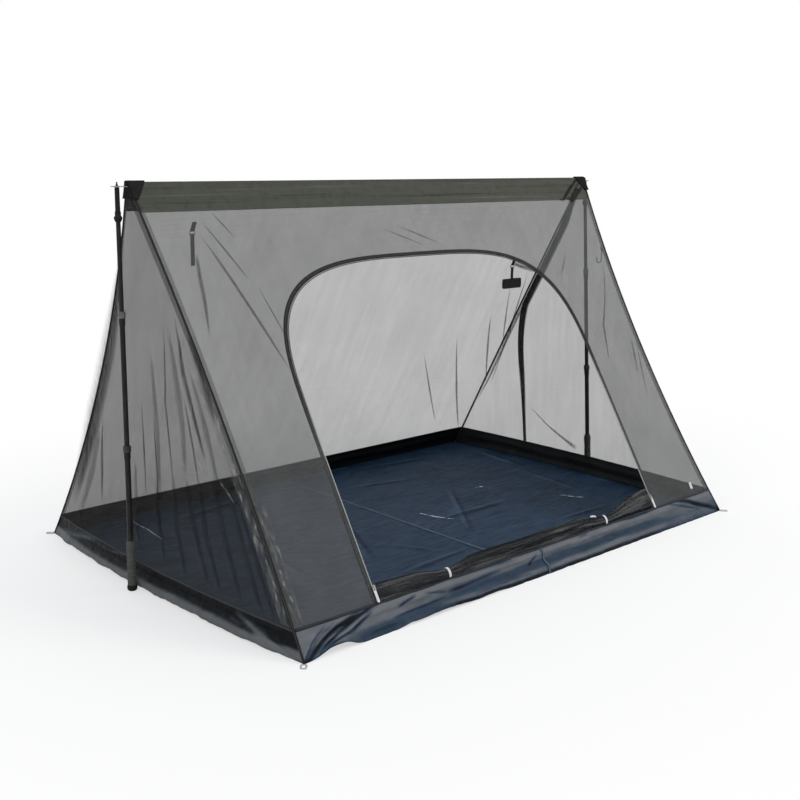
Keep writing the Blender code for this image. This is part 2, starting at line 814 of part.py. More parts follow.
def make_rolled_door(finish):
    """The door panel, rolled up along the sill, with its free edge as a step round the roll."""
    start, stop = door_centre_x - door_half + roll_end_gap, door_centre_x + door_half - roll_end_gap
    places = steps(start, stop, 20)
    for end in (LEFT, RIGHT):
        tie_x = door_centre_x + end * tie_offset
        places = [x for x in places if abs(x - tie_x) > tie_width * 3]
        places += [tie_x - tie_width, tie_x + tie_width]
    rings = []
    for i, x in enumerate(sorted(places)):
        edge = roll_edge_share * (1 + roll_lump_share * math.sin(i * 0.9))
        ring = []
        for k in range(14):
            share = k / 14
            angle = math.tau * share - math.pi / 2
            swell = 1 - roll_lump_share * (0.5 + 0.5 * math.sin(angle)) * (0.5 + 0.5 * math.sin(i * 1.3))
            if share > edge:
                swell -= roll_step_share * (1 - (share - edge) / (1 - edge))
            ring.append(roll_point(x, angle, swell))
        rings.append(ring)
    loft("door_roll", rings, finish).data.shade_smooth()


def make_ties(finish):
    """Two flat elastic straps round the waists of the rolled door."""
    for end, word in ((LEFT, "left"), (RIGHT, "right")):
        x = door_centre_x + end * tie_offset
        half = tie_width / 2
        rings = []
        for i in range(19):
            angle = math.radians(tie_start_angle) + math.radians(tie_wrap_angle) * i / 18
            ring = []
            for way, out in ((-1, 0), (1, 0), (1, tie_thickness), (-1, tie_thickness)):
                lifted = roll_point(x, angle, 1, tie_clearance + out)
                ring.append(lifted + Vector((way * half, 0, 0)))
            rings.append(ring)
        loft(f"door_tie_{word}", rings, finish)


# Hang tabs, what hangs from them, and the hook on the hip

def ring_path(centre, half_width, half_height, count=16):
    """A closed ring of points with rounded corners, in a plane that stands along the ridge."""
    points = []
    for i in range(count):
        a, b = math.cos(math.tau * i / count), math.sin(math.tau * i / count)
        x = half_width * math.copysign(abs(a) ** ring_round_share, a)
        z = half_height * math.copysign(abs(b) ** ring_round_share, b)
        points.append(centre + Vector((x, 0, z)))
    return points


def make_hang_tabs(web_finish):
    """Two webbing tabs inside the back panel, each with a cord ring, and the straps that hang from them."""
    inside = -(net_thickness / 2 + CLEAR + hang_tab_thickness / 2)
    for word, x, drop in (("left", hang_left_x, hang_left_drop), ("right", hang_right_x, hang_right_drop)):
        t_low, t_high = 1 - drop / ridge_height, 1 - (drop - hang_tab_length) / ridge_height
        name = f"hang_tab_{word}"
        rings = []
        for t in (t_low, t_high):
            ring = []
            for way, lift in ((-1, -1), (1, -1), (1, 1), (-1, 1)):
                u = (x + way * hang_tab_width / 2) / hip_x(t)
                ring.append(slope_point(BACK, u, t, inside + lift * hang_tab_thickness / 2))
            rings.append(ring)
        tab = loft(name, rings, web_finish)
        foot = slope_point(BACK, x / hip_x(t_low), t_low, inside)
        centre = foot - Vector((0, 0, ring_wire / 3 + ring_radius))
        wide = hang_strap_width / 2 + 3 * ring_wire
        ring = cord_mesh("ring", ring_path(centre, wide, ring_radius), ring_wire, True, 1)
        body = tab.data
        bpy.data.objects.remove(tab, do_unlink=True)
        add_object(name, combined(name, body, [ring], "UNION"), web_finish)
        make_hanger(word, centre - Vector((0, 0, ring_radius)), web_finish)


def make_hanger(word, pivot, finish):
    """A strap folded round the ring's lower bar. The right one carries a block."""
    half, spread = hang_strap_thickness / 2, hang_strap_width / 2
    hole = ring_wire + 2 * CLEAR
    fold = hole + hang_strap_thickness
    length = hang_strap_length if word == "left" else block_drop
    name = f"hang_strap_{word}"
    body = turned(name, [(hole, -spread), (fold, -spread), (fold, spread), (hole, spread)], 12)
    body.transform(Matrix.Rotation(math.pi / 2, 4, "Y"))
    tails = [box_mesh((-spread, -half, -length), (spread, half, -hole - half))]
    if word == "right":
        top = half - length
        low = (-block_width / 2, -block_thickness / 2, top - block_height)
        tails.append(box_mesh(low, (block_width / 2, block_thickness / 2, top)))
    strap = add_object(name, combined(name, body, tails, "UNION"), finish)
    strap.location = pivot


def make_hip_hook(cord_finish, hook_finish):
    """A cord ring inside the front right hip and the plastic hook that hangs in it."""
    hip = hip_point(RIGHT, FRONT, 1 - hip_hook_drop / ridge_height)
    aside = binding_radius + CLEAR + ring_wire + hook_loop_reach - hook_loop_tuck
    centre = hip + Vector((-aside, hook_loop_inset, -hook_loop_sink - ring_radius))
    tube("hip_hook_loop", ring_path(centre, hook_loop_reach, ring_radius), ring_wire, cord_finish, True, 1)
    eye = ring_wire + 2 * CLEAR + hook_wire
    path = []
    for i in range(9):
        angle = math.radians(hook_eye_start) + math.radians(hook_eye_wrap) * i / 8
        path.append(Vector((0, eye * math.cos(angle), eye * math.sin(angle))))
    path.append(Vector((0, 0, -hook_shank / 2)))
    for i in range(9):
        angle = math.pi * i / 8
        x = -hook_bend_radius * (1 - math.cos(angle))
        path.append(Vector((x, 0, -hook_shank - hook_bend_radius * math.sin(angle))))
    path.append(Vector((-2 * hook_bend_radius, 0, -hook_shank + hook_bend_radius / 2)))
    hook = tube("hip_hook", path, hook_wire, hook_finish, False, 1)
    hook.location = centre - Vector((0, 0, ring_radius))


# Trekking poles

under_eyelet = tab_thickness / 2 + CLEAR + eyelet_flange_thickness + shoulder_gap
shoulder_z = tab_middle - under_eyelet
upper_mouth = shoulder_z * upper_mouth_share
middle_mouth = shoulder_z * middle_mouth_share
middle_radius = shaft_radius - shaft_wall - slide_gap
lower_radius = middle_radius - shaft_wall - slide_gap


def shaft(name, radius, low, high):
    """One thin-walled tube of a pole."""
    bore = radius - shaft_wall
    return turned(name, [(bore, low), (radius, low), (radius, high), (bore, high)])


def shaft_with_collet(name, radius, low, mouth):
    """A tube of a pole whose mouth carries a sleeve and four split jaws that grip the next tube."""
    bore = radius - shaft_wall
    sleeve, jaw = radius + collet_wall, bore + collet_wall
    top = mouth + collet_jaw
    profile = [
        (bore, low), (radius, low), (radius, mouth - collet_sleeve), (sleeve, mouth - collet_sleeve),
        (sleeve, mouth), (jaw, mouth), (jaw, top - collet_wall), (jaw - collet_wall / 2, top), (bore, top),
    ]
    slots = []
    wide = collet_slot / 2
    for angle in (math.pi / pole_sides, math.pi / pole_sides + math.pi / 2):
        slot = box_mesh((-2 * jaw, -wide, mouth + 2 * collet_wall), (2 * jaw, wide, top + collet_wall))
        slot.transform(Matrix.Rotation(angle, 4, "Z"))
        slots.append(slot)
    return combined(name, turned(name, profile), slots, "DIFFERENCE")


def lock_nut(name, inner_shaft, mouth):
    """The fluted nut that turns on the collet's jaws."""
    jaw = inner_shaft + slide_gap + collet_wall
    bore = jaw + CLEAR
    outer = bore + nut_wall
    lip = inner_shaft + slide_gap
    low = mouth + CLEAR
    jaw_top = mouth + collet_jaw
    high = jaw_top + CLEAR + nut_wall
    chamfer = nut_wall / 3
    profile = [
        (bore, low), (outer - chamfer, low), (outer, low + chamfer, True), (outer, high - nut_wall, True),
        (outer - chamfer * 2, high), (lip, high), (lip, jaw_top + CLEAR), (bore, jaw_top + CLEAR),
    ]
    dips = nut_flute_count

    def flute(angle):
        return nut_flute_depth * (0.5 - 0.5 * math.cos(dips * angle))

    return turned(name, profile, 2 * nut_flute_count, flute)


def grip_mesh():
    """A ribbed foam grip with a waist, open down the middle for the shaft."""
    bore = shaft_radius + CLEAR
    low, high = head_cap_height + CLEAR, head_cap_height + CLEAR + grip_length
    outline = [(bore, low), (grip_radius * 0.96, low)]
    ribbed = grip_length * 0.52
    pitch = ribbed / grip_rib_count
    for i in range(grip_rib_count):
        z = low + grip_length * 0.12 + i * pitch
        outline.append((grip_radius, z + pitch * 0.2))
        outline.append((grip_radius - grip_rib_depth, z + pitch * 0.75))
    outline += [
        (grip_radius * 0.98, high - grip_length * 0.2), (grip_radius * 1.02, high - grip_length * 0.08),
        (grip_radius * 0.82, high), (bore, high)]
    return turned("pole_grip", outline)


def make_pole(word, place, lean, eyelet_z, finish):
    """One pole, from the head cap on the ground to the tip through the ridge eyelet."""
    shaft_foot = head_cap_height + CLEAR * 2
    shoulder = eyelet_z - under_eyelet
    collar_low = shoulder - ferrule_length
    lower_top = collar_low - CLEAR
    cap_high = head_cap_height
    cap = turned("head_cap", [
        (0, 0), (head_cap_foot, 0), (head_cap_radius * 0.94, cap_high * 0.2),
        (head_cap_radius, cap_high * 0.55), (head_cap_radius * 0.93, cap_high), (0, cap_high)])
    bore = lower_radius + CLEAR
    collar_z = lower_top - basket_collar_height
    collar = turned("basket_collar", [
        (bore, collar_z), (lower_radius * 1.25, collar_z),
        (basket_collar_radius, collar_z + basket_collar_height * 0.3),
        (basket_collar_radius, collar_z + basket_collar_height * 0.45),
        (lower_radius * 1.3, collar_z + basket_collar_height * 0.6),
        (lower_radius * 1.3, lower_top), (bore, lower_top)])
    tip_end = eyelet_z + tab_thickness / 2 + eyelet_flange_thickness + tip_show
    ferrule = turned("tip_ferrule", [
        (0, collar_low), (lower_radius * 1.1, collar_low),
        (lower_radius * 1.05, collar_low + ferrule_length * 0.3),
        (ferrule_shoulder_radius, shoulder - ferrule_neck_radius / 2),
        (ferrule_shoulder_radius * 0.92, shoulder), (ferrule_neck_radius, shoulder),
        (ferrule_neck_radius * 0.86, tip_end - tip_show * 0.6),
        (tip_radius, tip_end - tip_show * 0.6), (tip_radius, tip_end - tip_radius * 0.5),
        (tip_radius * 0.5, tip_end), (0, tip_end)])
    middle_low, lower_low = upper_mouth - shaft_insertion, middle_mouth - shaft_insertion
    pieces = {
        "head_cap": (cap, "dark"), "grip": (grip_mesh(), "grip"),
        "upper_shaft": (shaft_with_collet("upper", shaft_radius, shaft_foot, upper_mouth), "black"),
        "upper_lock_nut": (lock_nut("upper_nut", middle_radius, upper_mouth), "grey"),
        "middle_shaft": (shaft_with_collet("middle", middle_radius, middle_low, middle_mouth), "black"),
        "middle_lock_nut": (lock_nut("middle_nut", lower_radius, middle_mouth), "silver"),
        "lower_shaft": (shaft("lower", lower_radius, lower_low, lower_top), "black"),
        "basket_collar": (collar, "dark"), "tip_ferrule": (ferrule, "dark"),
    }
    for piece, (data, tone) in pieces.items():
        data.name = f"{word}_pole_{piece}"
        obj = add_object(f"{word}_pole_{piece}", data, finish[tone])
        obj.location = place
        obj.rotation_euler = (-lean, 0, 0)


def make_poles(finish):
    """Both poles. The right one's foot stands nearer the door, so that pole leans."""
    for word, x, forward in (("left", -left_pole_x, 0), ("right", right_pole_x, right_foot_forward)):
        lean = math.atan2(forward, tab_middle)
        foot_z = head_cap_foot * math.sin(lean)
        reach = (tab_middle - foot_z) / math.cos(lean)
        place = Vector((x, ridge_back_shift - reach * math.sin(lean), foot_z))
        make_pole(word, place, lean, reach, finish)


def build():
    """Makes the whole tent."""
    clear_scene()
    net = material("net", (0.10, 0.10, 0.10), 0.8)
    floor_cloth = material("floor_cloth", (0.03, 0.04, 0.06), 0.45)
    ridge_cloth = material("ridge_cloth", (0.05, 0.055, 0.05), 0.6)
    black_cloth = material("black_cloth", (0.02, 0.02, 0.02), 0.7)
    webbing = material("webbing", (0.03, 0.03, 0.03), 0.8)
    white_cord = material("white_cord", (0.8, 0.8, 0.8), 0.5)
    hook_plastic = material("hook_plastic", (0.16, 0.16, 0.16), 0.4)
    zip_black = material("zip_black", (0.02, 0.02, 0.02), 0.5)
    metal = material("metal", (0.5, 0.5, 0.5), 0.3, 1.0)
    pole = {
        "black": material("shaft_black", (0.015, 0.014, 0.012), 0.35, 0.3),
        "grey": material("lock_grey", (0.12, 0.12, 0.12), 0.5),
        "silver": material("lock_silver", (0.5, 0.5, 0.5), 0.3, 0.9),
        "grip": material("grip_foam", (0.14, 0.14, 0.13), 0.8),
        "dark": material("dark_rubber", (0.03, 0.03, 0.03), 0.7),
    }
    make_floor(floor_cloth, floor_cloth)
    make_walls(floor_cloth)
    make_front_net(net)
    make_back_net(net)
    make_end_nets(net)
    make_gather(net)
    make_ridge_band(ridge_cloth)
    make_bindings(black_cloth)
    make_apex_patches(black_cloth)
    make_tabs(webbing, metal)
    make_corner_loops(webbing)
    make_zip(zip_black, zip_black)
    make_sliders(metal, white_cord)
    make_rolled_door(net)
    make_ties(white_cord)
    make_hang_tabs(webbing)
    make_hip_hook(webbing, hook_plastic)
    make_poles(pole)


build()
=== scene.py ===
"""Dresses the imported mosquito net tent: sheer folded net, creased floor cloth, zip, seams, ties and poles."""
import math

import bpy
from mathutils import Matrix, Vector, noise


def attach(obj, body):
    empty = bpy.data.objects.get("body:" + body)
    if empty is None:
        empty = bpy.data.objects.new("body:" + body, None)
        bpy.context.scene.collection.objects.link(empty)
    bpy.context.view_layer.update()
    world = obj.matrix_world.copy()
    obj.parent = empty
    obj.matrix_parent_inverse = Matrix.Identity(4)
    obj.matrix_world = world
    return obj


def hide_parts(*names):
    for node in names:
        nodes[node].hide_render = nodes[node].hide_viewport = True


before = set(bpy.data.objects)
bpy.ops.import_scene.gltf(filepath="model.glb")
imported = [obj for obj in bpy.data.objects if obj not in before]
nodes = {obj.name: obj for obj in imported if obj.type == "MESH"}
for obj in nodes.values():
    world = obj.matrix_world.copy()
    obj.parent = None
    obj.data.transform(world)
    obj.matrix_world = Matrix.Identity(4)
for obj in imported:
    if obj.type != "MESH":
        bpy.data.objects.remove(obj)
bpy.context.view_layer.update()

# The tent's shape, in metres, as in its CAD model
LENGTH, WIDTH, HEIGHT, RIDGE = 2.10, 1.46, 1.281, 2.176
SHIFT, WALL, BAND = 0.059, 0.080, 0.090  # the ridge's shift to the back, and the wall's and ridge band's heights
SAG_X, SAG_Y, SAG_END, BULGE = 0.038, 0.024, 0.012, 0.030  # how far cloth and net pull in, and the ends swell
FLAT = {-1: 0.76, 1: 0.86}  # the share of a slope that is flat, front and back
DOOR_X, DOOR_HALF, SPRING, RISE, POWER = -0.035, 0.70, 0.66, 0.535, 3.5  # the arch, along and up the front slope
POLE_X = {-1: 1.121, 1: 1.106}
# The gathered net's way down the right end: height as a share, and y
GATHER = ((0.0, 0.300), (0.25, 0.318), (0.42, 0.330), (0.54, 0.312), (0.71, 0.245), (0.85, 0.160), (1.0, 0.060))
FRONT, BACK, LEFT, RIGHT = -1, 1, -1, 1
RUN = {-1: WIDTH / 2 + SHIFT, 1: WIDTH / 2 - SHIFT}
SLANT = {k: math.hypot(v, HEIGHT) for k, v in RUN.items()}
UP = {k: Vector((0, -k * v, HEIGHT)) / SLANT[k] for k, v in RUN.items()}
OUT = {k: Vector((0, k * HEIGHT, v)) / SLANT[k] for k, v in RUN.items()}
T_WALL = WALL / HEIGHT
T_BAND = 1 - BAND / HEIGHT
SILL = T_WALL * SLANT[-1]
SIDES = ((FRONT, "front"), (BACK, "back"))
ENDS = ((LEFT, "left"), (RIGHT, "right"))
NET_INSET, CLOTH_INSET = 0.0036, 0.0038  # how far net and cloth stop short of a hip's seam
TAPE = (-1, -0.5, 0, 0.5, 1)  # the places across a strap
TIE_AT = 0.400  # how far the ties are from the door's middle
SIDE_LIFT, END_LIFT = (-0.011, 0.018), (-0.010, 0.025)  # the limits of how far the walls stand out
GAP = 0.0003  # clearance between layers, as in the CAD model


def clamp(x, low, high):
    return max(low, min(high, x))


def mix(a, b, share):
    return a + (b - a) * share


def steps(low, high, count):
    return [mix(low, high, i / count) for i in range(count + 1)]


def bow(t):
    return 4 * t * (1 - t)


def smooth(a, b, x):
    x = clamp((x - a) / (b - a), 0, 1)
    return x * x * (3 - 2 * x)


def rough(x, y, z):
    """Smooth noise at a place, from about -1 to 1."""
    return noise.noise(Vector((x, y, z)))


def turn_angles(count, closed=0):
    """Angles round a full turn. With closed=1 the last one is the full turn itself."""
    return [math.tau * k / count for k in range(count + closed)]


def along_line(line, at):
    """The value of a smooth line through (place, value) pairs."""
    last = len(line) - 1
    i = next((k for k in range(last) if at <= line[k + 1][0]), last - 1)
    before, start, stop, after = line[max(i - 1, 0)], line[i], line[i + 1], line[min(i + 2, last)]
    span = stop[0] - start[0]
    q = (at - start[0]) / span
    rise_in = (stop[1] - before[1]) / (stop[0] - before[0]) * span
    rise_out = (after[1] - start[1]) / (after[0] - start[0]) * span
    return mix(start[1], stop[1], q * q * (3 - 2 * q)) + q * (1 - q) * ((1 - q) * rise_in - q * rise_out)


def hip_x(t):
    return mix(LENGTH / 2, RIDGE / 2, t) - SAG_X * bow(t)


def slope_point(side, u, t, lift=0.0):
    flat = FLAT[side]
    pull = max(0, (abs(u) - flat) / (1 - flat)) ** 2
    y = mix(side * WIDTH / 2, SHIFT, t) - side * SAG_Y * bow(t) * pull
    return Vector((u * hip_x(t), y, t * HEIGHT)) + OUT[side] * lift


def end_point(end, v, t, lift=0.0):
    front, back = slope_point(FRONT, end, t), slope_point(BACK, end, t)
    centre = mix(LENGTH / 2 + BULGE, RIDGE / 2, t) - SAG_END * bow(t)
    x = hip_x(t) + (centre - hip_x(t)) * (1 - v * v) + lift
    return Vector((end * x, mix(front.y, back.y, (v + 1) / 2), t * HEIGHT))


def front_at(x, s, lift):
    """A place on the front, from x and the distance up the slope."""
    return slope_point(FRONT, x / hip_x(s / SLANT[-1]), s / SLANT[-1], lift)


def width_at(end, t):
    """The width of an end at a height."""
    return slope_point(BACK, end, t).y - slope_point(FRONT, end, t).y


# Camera, and where a place in the photograph lies on the tent

EYE = Vector((-1.364, -1.440, 0.658)) * LENGTH
YAW, PITCH, ROLL, FOCAL = math.radians(-43.3), math.radians(12.3), math.radians(0.77), 1145
PHOTO, SENSOR = 800, 36  # the photograph's width in pixels, and the camera's in millimetres
ahead = Vector((-math.sin(YAW) * math.cos(PITCH), math.cos(YAW) * math.cos(PITCH), -math.sin(PITCH)))
level = Vector((math.cos(YAW), math.sin(YAW), 0))
above = level.cross(ahead)
right = level * math.cos(ROLL) + above * math.sin(ROLL)
above = above * math.cos(ROLL) - level * math.sin(ROLL)


def make_camera():
    data = bpy.data.cameras.new("camera")
    data.sensor_width = SENSOR
    data.lens = SENSOR * FOCAL / PHOTO
    data.clip_start = 0.05
    data.clip_end = 200
    camera = bpy.data.objects.new("camera", data)
    turn = Matrix((right, above, -ahead)).transposed().to_4x4()
    camera.matrix_world = Matrix.Translation(EYE) @ turn
    link_in(camera)
    bpy.context.scene.camera = camera


def link_in(obj):
    bpy.context.scene.collection.objects.link(obj)


def ray(px, py):
    return (ahead * FOCAL + right * (px - PHOTO / 2) - above * (py - PHOTO / 2)).normalized()


def on_slope(side, px, py):
    """(u, t) on a slope, for a pixel of the photograph."""
    d = ray(px, py)
    base = Vector((0, side * WIDTH / 2, 0))
    p = EYE + d * ((base - EYE).dot(OUT[side]) / d.dot(OUT[side]))
    t = p.z / HEIGHT
    return p.x / hip_x(t), t


def on_end(end, px, py):
    """(v, t) on an end, for a pixel of the photograph."""
    d = ray(px, py)
    x = end * (RIDGE / 2 - 0.01)
    for _ in range(6):
        p = EYE + d * ((x - EYE.x) / d.x)
        t = min(0.99, max(0.0, p.z / HEIGHT))
        front, back = slope_point(FRONT, end, t).y, slope_point(BACK, end, t).y
        v = 2 * (p.y - front) / (back - front) - 1
        x = end_point(end, max(-1, min(1, v)), t).x
    return v, t


# Materials

class Nodes:
    """Short calls for building a node material."""

    def __init__(self, name, blended=False):
        self.material = bpy.data.materials.new(name)
        self.material.use_nodes = True
        self.tree = self.material.node_tree
        self.shader = self.tree.nodes["Principled BSDF"]
        if blended:
            self.material.surface_render_method = "BLENDED"

    def add(self, kind, **sets):
        node = self.tree.nodes.new(kind)
        for key, value in sets.items():
            if hasattr(node, key):
                setattr(node, key, value)
            else:
                node.inputs[key.replace("_", " ")].default_value = value
        return node

    def link(self, a, b):
        self.tree.links.new(a, b)

    def fill(self, slot, value):
        """A link where the value is a socket, and a constant where it isn't."""
        if hasattr(value, "is_output"):
            self.link(value, slot)
        else:
            slot.default_value = value

    def coords(self, scale=(1, 1, 1), kind="Object"):
        mapping = self.add("ShaderNodeMapping", Scale=scale)
        self.link(self.add("ShaderNodeTexCoord").outputs[kind], mapping.inputs["Vector"])
        return mapping.outputs["Vector"]

    def split(self, kind="UV"):
        node = self.add("ShaderNodeSeparateXYZ")
        self.link(self.coords(kind=kind), node.inputs[0])
        return node.outputs

    def noise(self, vector, scale, detail, rough=0.55):
        node = self.add("ShaderNodeTexNoise", Scale=scale, Detail=detail, Roughness=rough)
        self.link(vector, node.inputs["Vector"])
        return node.outputs["Fac"]

    def cloud(self, vector, scale, detail, low, high):
        """Noise spread from one value to another."""
        return self.ramp(self.noise(vector, scale, detail), 0.3, 0.7, low, high)

    def wave(self, vector, scale, direction="X"):
        node = self.add("ShaderNodeTexWave", wave_type="BANDS", bands_direction=direction, Scale=scale, Distortion=0.0)
        self.link(vector, node.inputs["Vector"])
        return node.outputs["Fac"]

    def ramp(self, value, low, high, out_low=0.0, out_high=1.0):
        node = self.add("ShaderNodeMapRange", interpolation_type="SMOOTHSTEP")
        for slot, number in enumerate((value, low, high, out_low, out_high)):
            self.fill(node.inputs[slot], number)
        return node.outputs[0]

    def math(self, kind, *values):
        node = self.add("ShaderNodeMath", operation=kind)
        for slot, value in enumerate(values):
            self.fill(node.inputs[slot], value)
        return node.outputs[0]

    def product(self, first, *others):
        """Values multiplied together."""
        for value in others:
            first = self.math("MULTIPLY", first, value)
        return first

    def hump(self, value):
        """Half a wave, 0 at both ends of a value that runs from 0 to 1."""
        return self.math("SINE", self.product(value, math.pi))

    def colours(self, value, dark, light):
        node = self.add("ShaderNodeMix", data_type="RGBA")
        for slot, colour in ((6, dark), (7, light)):
            self.fill(node.inputs[slot], (*colour, 1) if isinstance(colour, tuple) else colour)
        self.link(value, node.inputs[0])
        return node.outputs[2]

    def bump(self, height, strength, distance):
        node = self.add("ShaderNodeBump", Strength=strength, Distance=distance)
        self.link(height, node.inputs["Height"])
        self.link(node.outputs["Normal"], self.shader.inputs["Normal"])

    def set(self, **values):
        for key, value in values.items():
            self.fill(self.shader.inputs[key.replace("_", " ")], value)


def net_material(name, cover, dark, light):
    """Fine knitted net: cells about 1.6 mm wide between dark threads."""
    n = Nodes(name, True)
    uv = n.coords(kind="UV")
    cells = n.add("ShaderNodeTexVoronoi", feature="DISTANCE_TO_EDGE", voronoi_dimensions="2D", Scale=620.0,
                  Randomness=0.35)
    n.link(uv, cells.inputs["Vector"])
    thread = n.ramp(cells.outputs["Distance"], 0.02, 0.42, cover + 0.16, cover - 0.16)
    streak = n.cloud(n.coords((26, 2.2, 1), "UV"), 1.0, 3, -0.016, 0.016)
    n.set(Alpha=n.math("ADD", n.math("ADD", thread, n.cloud(uv, 3.2, 4, -0.02, 0.02)), streak))
    n.set(Base_Color=n.colours(n.noise(uv, 9.0, 3), dark, light), Roughness=0.8, Specular_IOR_Level=0.12)
    return n.material


def fold_material(name, cover, dark, light, soft=1.4):
    """A fold of the same net, thickest in its middle: U runs across the fold and V along it."""
    n = Nodes(name, True)
    across, along, _ = n.split()
    body = n.product(n.math("POWER", n.hump(across), soft), n.ramp(n.hump(along), 0.0, 0.55))
    n.set(Alpha=n.product(body, n.cloud(n.coords((160, 160, 14)), 1.0, 3, 0.7, 1.15), cover))
    n.set(Base_Color=n.colours(n.noise(n.coords(), 30.0, 3), dark, light), Roughness=0.8, Specular_IOR_Level=0.12)
    return n.material


def crinkle_material(name, cover, dark, light, low, high):
    """Crumpled doubled net whose creases catch the light: U runs across from 0 to 1 and V along."""
    n = Nodes(name, True)
    thin = 0.26
    flake = n.noise(n.coords((2.6, 15, 1), "UV"), 1.5, 5, 0.6)
    streak = n.noise(n.coords((60, 60, 14)), 1.0, 3, 0.5)
    lit = n.product(n.ramp(flake, low, high), n.ramp(streak, 0.30, 0.62))
    n.set(Alpha=n.product(n.math("ADD", n.product(lit, cover - thin), thin), n.ramp(n.hump(n.split()[0]), 0.0, 0.7)))
    n.bump(flake, 0.5, 0.002)
    n.set(Base_Color=n.colours(lit, dark, light), Roughness=0.6, Specular_IOR_Level=0.2)
    return n.material


def bundle_material(name, cover, dark, light, low=0.4, high=0.75):
    """Many layers of net gathered together, with streaks along the bundle; the pale streaks are painted highlights."""
    n = Nodes(name, True)
    streak = n.noise(n.coords((2.5, 420, 1), "UV"), 1.0, 4, 0.65)
    patch = n.ramp(n.noise(n.coords(kind="UV"), 14.0, 3), 0.35, 0.7, -0.16, 0.06)
    n.set(Alpha=n.math("ADD", n.ramp(streak, 0.35, 0.65, cover - 0.22, cover + 0.1), patch))
    n.bump(streak, 0.5, 0.003)
    n.set(Base_Color=n.colours(n.ramp(streak, low, high), dark, light), Roughness=0.7, Specular_IOR_Level=0.15)
    return n.material


def scaled(colour, times):
    return tuple(c * times for c in colour)


def grey(level):
    return (level, level, level)


def coated_material(name, dark, light, rough, specular, crease=0.3, folds=None, wrinkled=False):
    """Coated woven cloth: fine weave, soft creases, scuffs, and painted light and shade on its folds, paler where they
    face up and darker where they hang over.
    """
    n = Nodes(name)
    where = n.coords()
    grain = n.product(n.wave(where, 260.0), n.wave(where, 260.0, "Y"))
    fine = n.noise(n.coords((6, 22, 14)), 2.2, 6, 0.6)
    scuff = n.noise(where, 55.0, 6, 0.75)
    n.bump(n.math("ADD", n.product(grain, 0.05), n.math("ADD", fine, n.product(scuff, 0.12))), crease, 0.012)
    tone = n.colours(n.ramp(n.noise(where, 6.0, 5, 0.6), 0.3, 0.7), dark, light)
    if wrinkled:
        # Thin dark and pale lines along wrinkles: painted crease shade and painted highlights.
        line = n.noise(n.coords((1.5, 7.5, 3)), 1.7, 4, 0.55)
        patchy = n.ramp(n.noise(where, 4.0, 3), 0.38, 0.60)
        kinds = ((0.5, 0.026, 0.7, scaled(dark, 0.35)), (0.57, 0.016, 0.4, scaled(light, 1.9)))
        for level, width, share, colour in kinds:
            thin = n.ramp(n.math("ABSOLUTE", n.math("SUBTRACT", line, level)), 0.0, width, 1.0, 0.0)
            tone = n.colours(n.product(thin, patchy, share), tone, colour)
    # Painted light and shade from the tone attribute: low tones turn towards the deep colour, and high tones towards
    # the pale one.
    if folds:
        deep, pale, middle = folds
        painted_light_and_shade = n.add("ShaderNodeAttribute", attribute_name="tone").outputs["Fac"]
        painted_light_and_shade = n.math("ADD", painted_light_and_shade, n.cloud(n.coords((7, 16, 40)), 1.6, 5, -0.07, 0.07))
        tone = n.colours(n.ramp(painted_light_and_shade, middle, 0.0), tone, deep)
        tone = n.colours(n.ramp(painted_light_and_shade, middle, 1.0), tone, pale)
    n.set(Base_Color=n.colours(n.ramp(scuff, 0.62, 0.85, 0.0, 0.2), tone, scaled(light, 2.2)))
    n.set(Roughness=n.ramp(fine, 0.3, 0.7, rough - 0.1, rough + 0.1), Specular_IOR_Level=specular)
    return n.material


def pale_legs(n, tone, pale):
    """A tone that turns paler down the door's straight legs: a painted highlight where the zip catches the light."""
    return n.colours(n.ramp(n.split("Object")[2], 0.46, 0.66), pale, tone)


def plain_material(name, dark, light, rough, metallic=0.0, grain=120.0, bump=0.1, specular=0.3, legs=None):
    """Moulded or metal finish with fine grain, small wear and uneven gloss."""
    n = Nodes(name)
    wear = n.noise(n.coords(), grain / 9, 5, 0.7)
    n.bump(n.noise(n.coords(), grain, 4), bump, 0.001)
    tone = n.colours(n.ramp(wear, 0.4, 0.8), dark, light)
    n.set(Base_Color=pale_legs(n, tone, legs) if legs else tone)
    n.set(Roughness=n.ramp(wear, 0.3, 0.8, rough - 0.07, rough + 0.1), Metallic=metallic, Specular_IOR_Level=specular)
    return n.material


def streaked(n, tone, pale, dark):
    """Streaks that run along the ridge, where the cloth is creased by its own tension: painted highlights on the
    creases' crests and painted shade between them.
    """
    streak = n.noise(n.coords((0.9, 60, 60)), 1.0, 5, 0.65)
    tone = n.colours(n.ramp(streak, 0.58, 0.72), tone, pale)
    return n.colours(n.ramp(streak, 0.44, 0.32), tone, dark)


def woven_material(name, dark, light, thread=None, rows=(), pitch=0.0035, rough=0.75, blended=None, legs=None,
                   streaks=None):
    """Woven tape: U runs along it in metres and V across it from 0 to 1, with rows of stitches."""
    n = Nodes(name, blended is not None)
    along, across, _ = n.split()
    ribbed = n.coords((1, 0.012, 1), "UV")
    weave = n.product(n.wave(ribbed, 170.0), n.wave(ribbed, 150.0, "DIAGONAL"))
    uneven = n.noise(n.coords(), 40.0, 4)
    tone = n.colours(n.product(weave, n.ramp(uneven, 0.3, 0.7, 0.5, 1.1)), dark, light)
    height = weave
    for row in rows:
        near = n.math("LESS_THAN", n.math("ABSOLUTE", n.math("SUBTRACT", across, row)), 0.035)
        dash = n.math("LESS_THAN", n.math("FRACT", n.product(along, 1 / pitch)), 0.68)
        stitch = n.product(near, dash)
        tone = n.colours(stitch, tone, thread)
        height = n.math("ADD", height, n.product(stitch, 1.5))
    n.bump(height, 0.4, 0.0008)
    if streaks:
        tone = streaked(n, tone, *streaks)
    n.set(Base_Color=pale_legs(n, tone, legs) if legs else tone, Roughness=rough, Specular_IOR_Level=0.15)
    if blended:
        n.set(Alpha=n.ramp(uneven, 0.3, 0.7, blended - 0.05, blended + 0.05))
    return n.material


# Mesh helpers

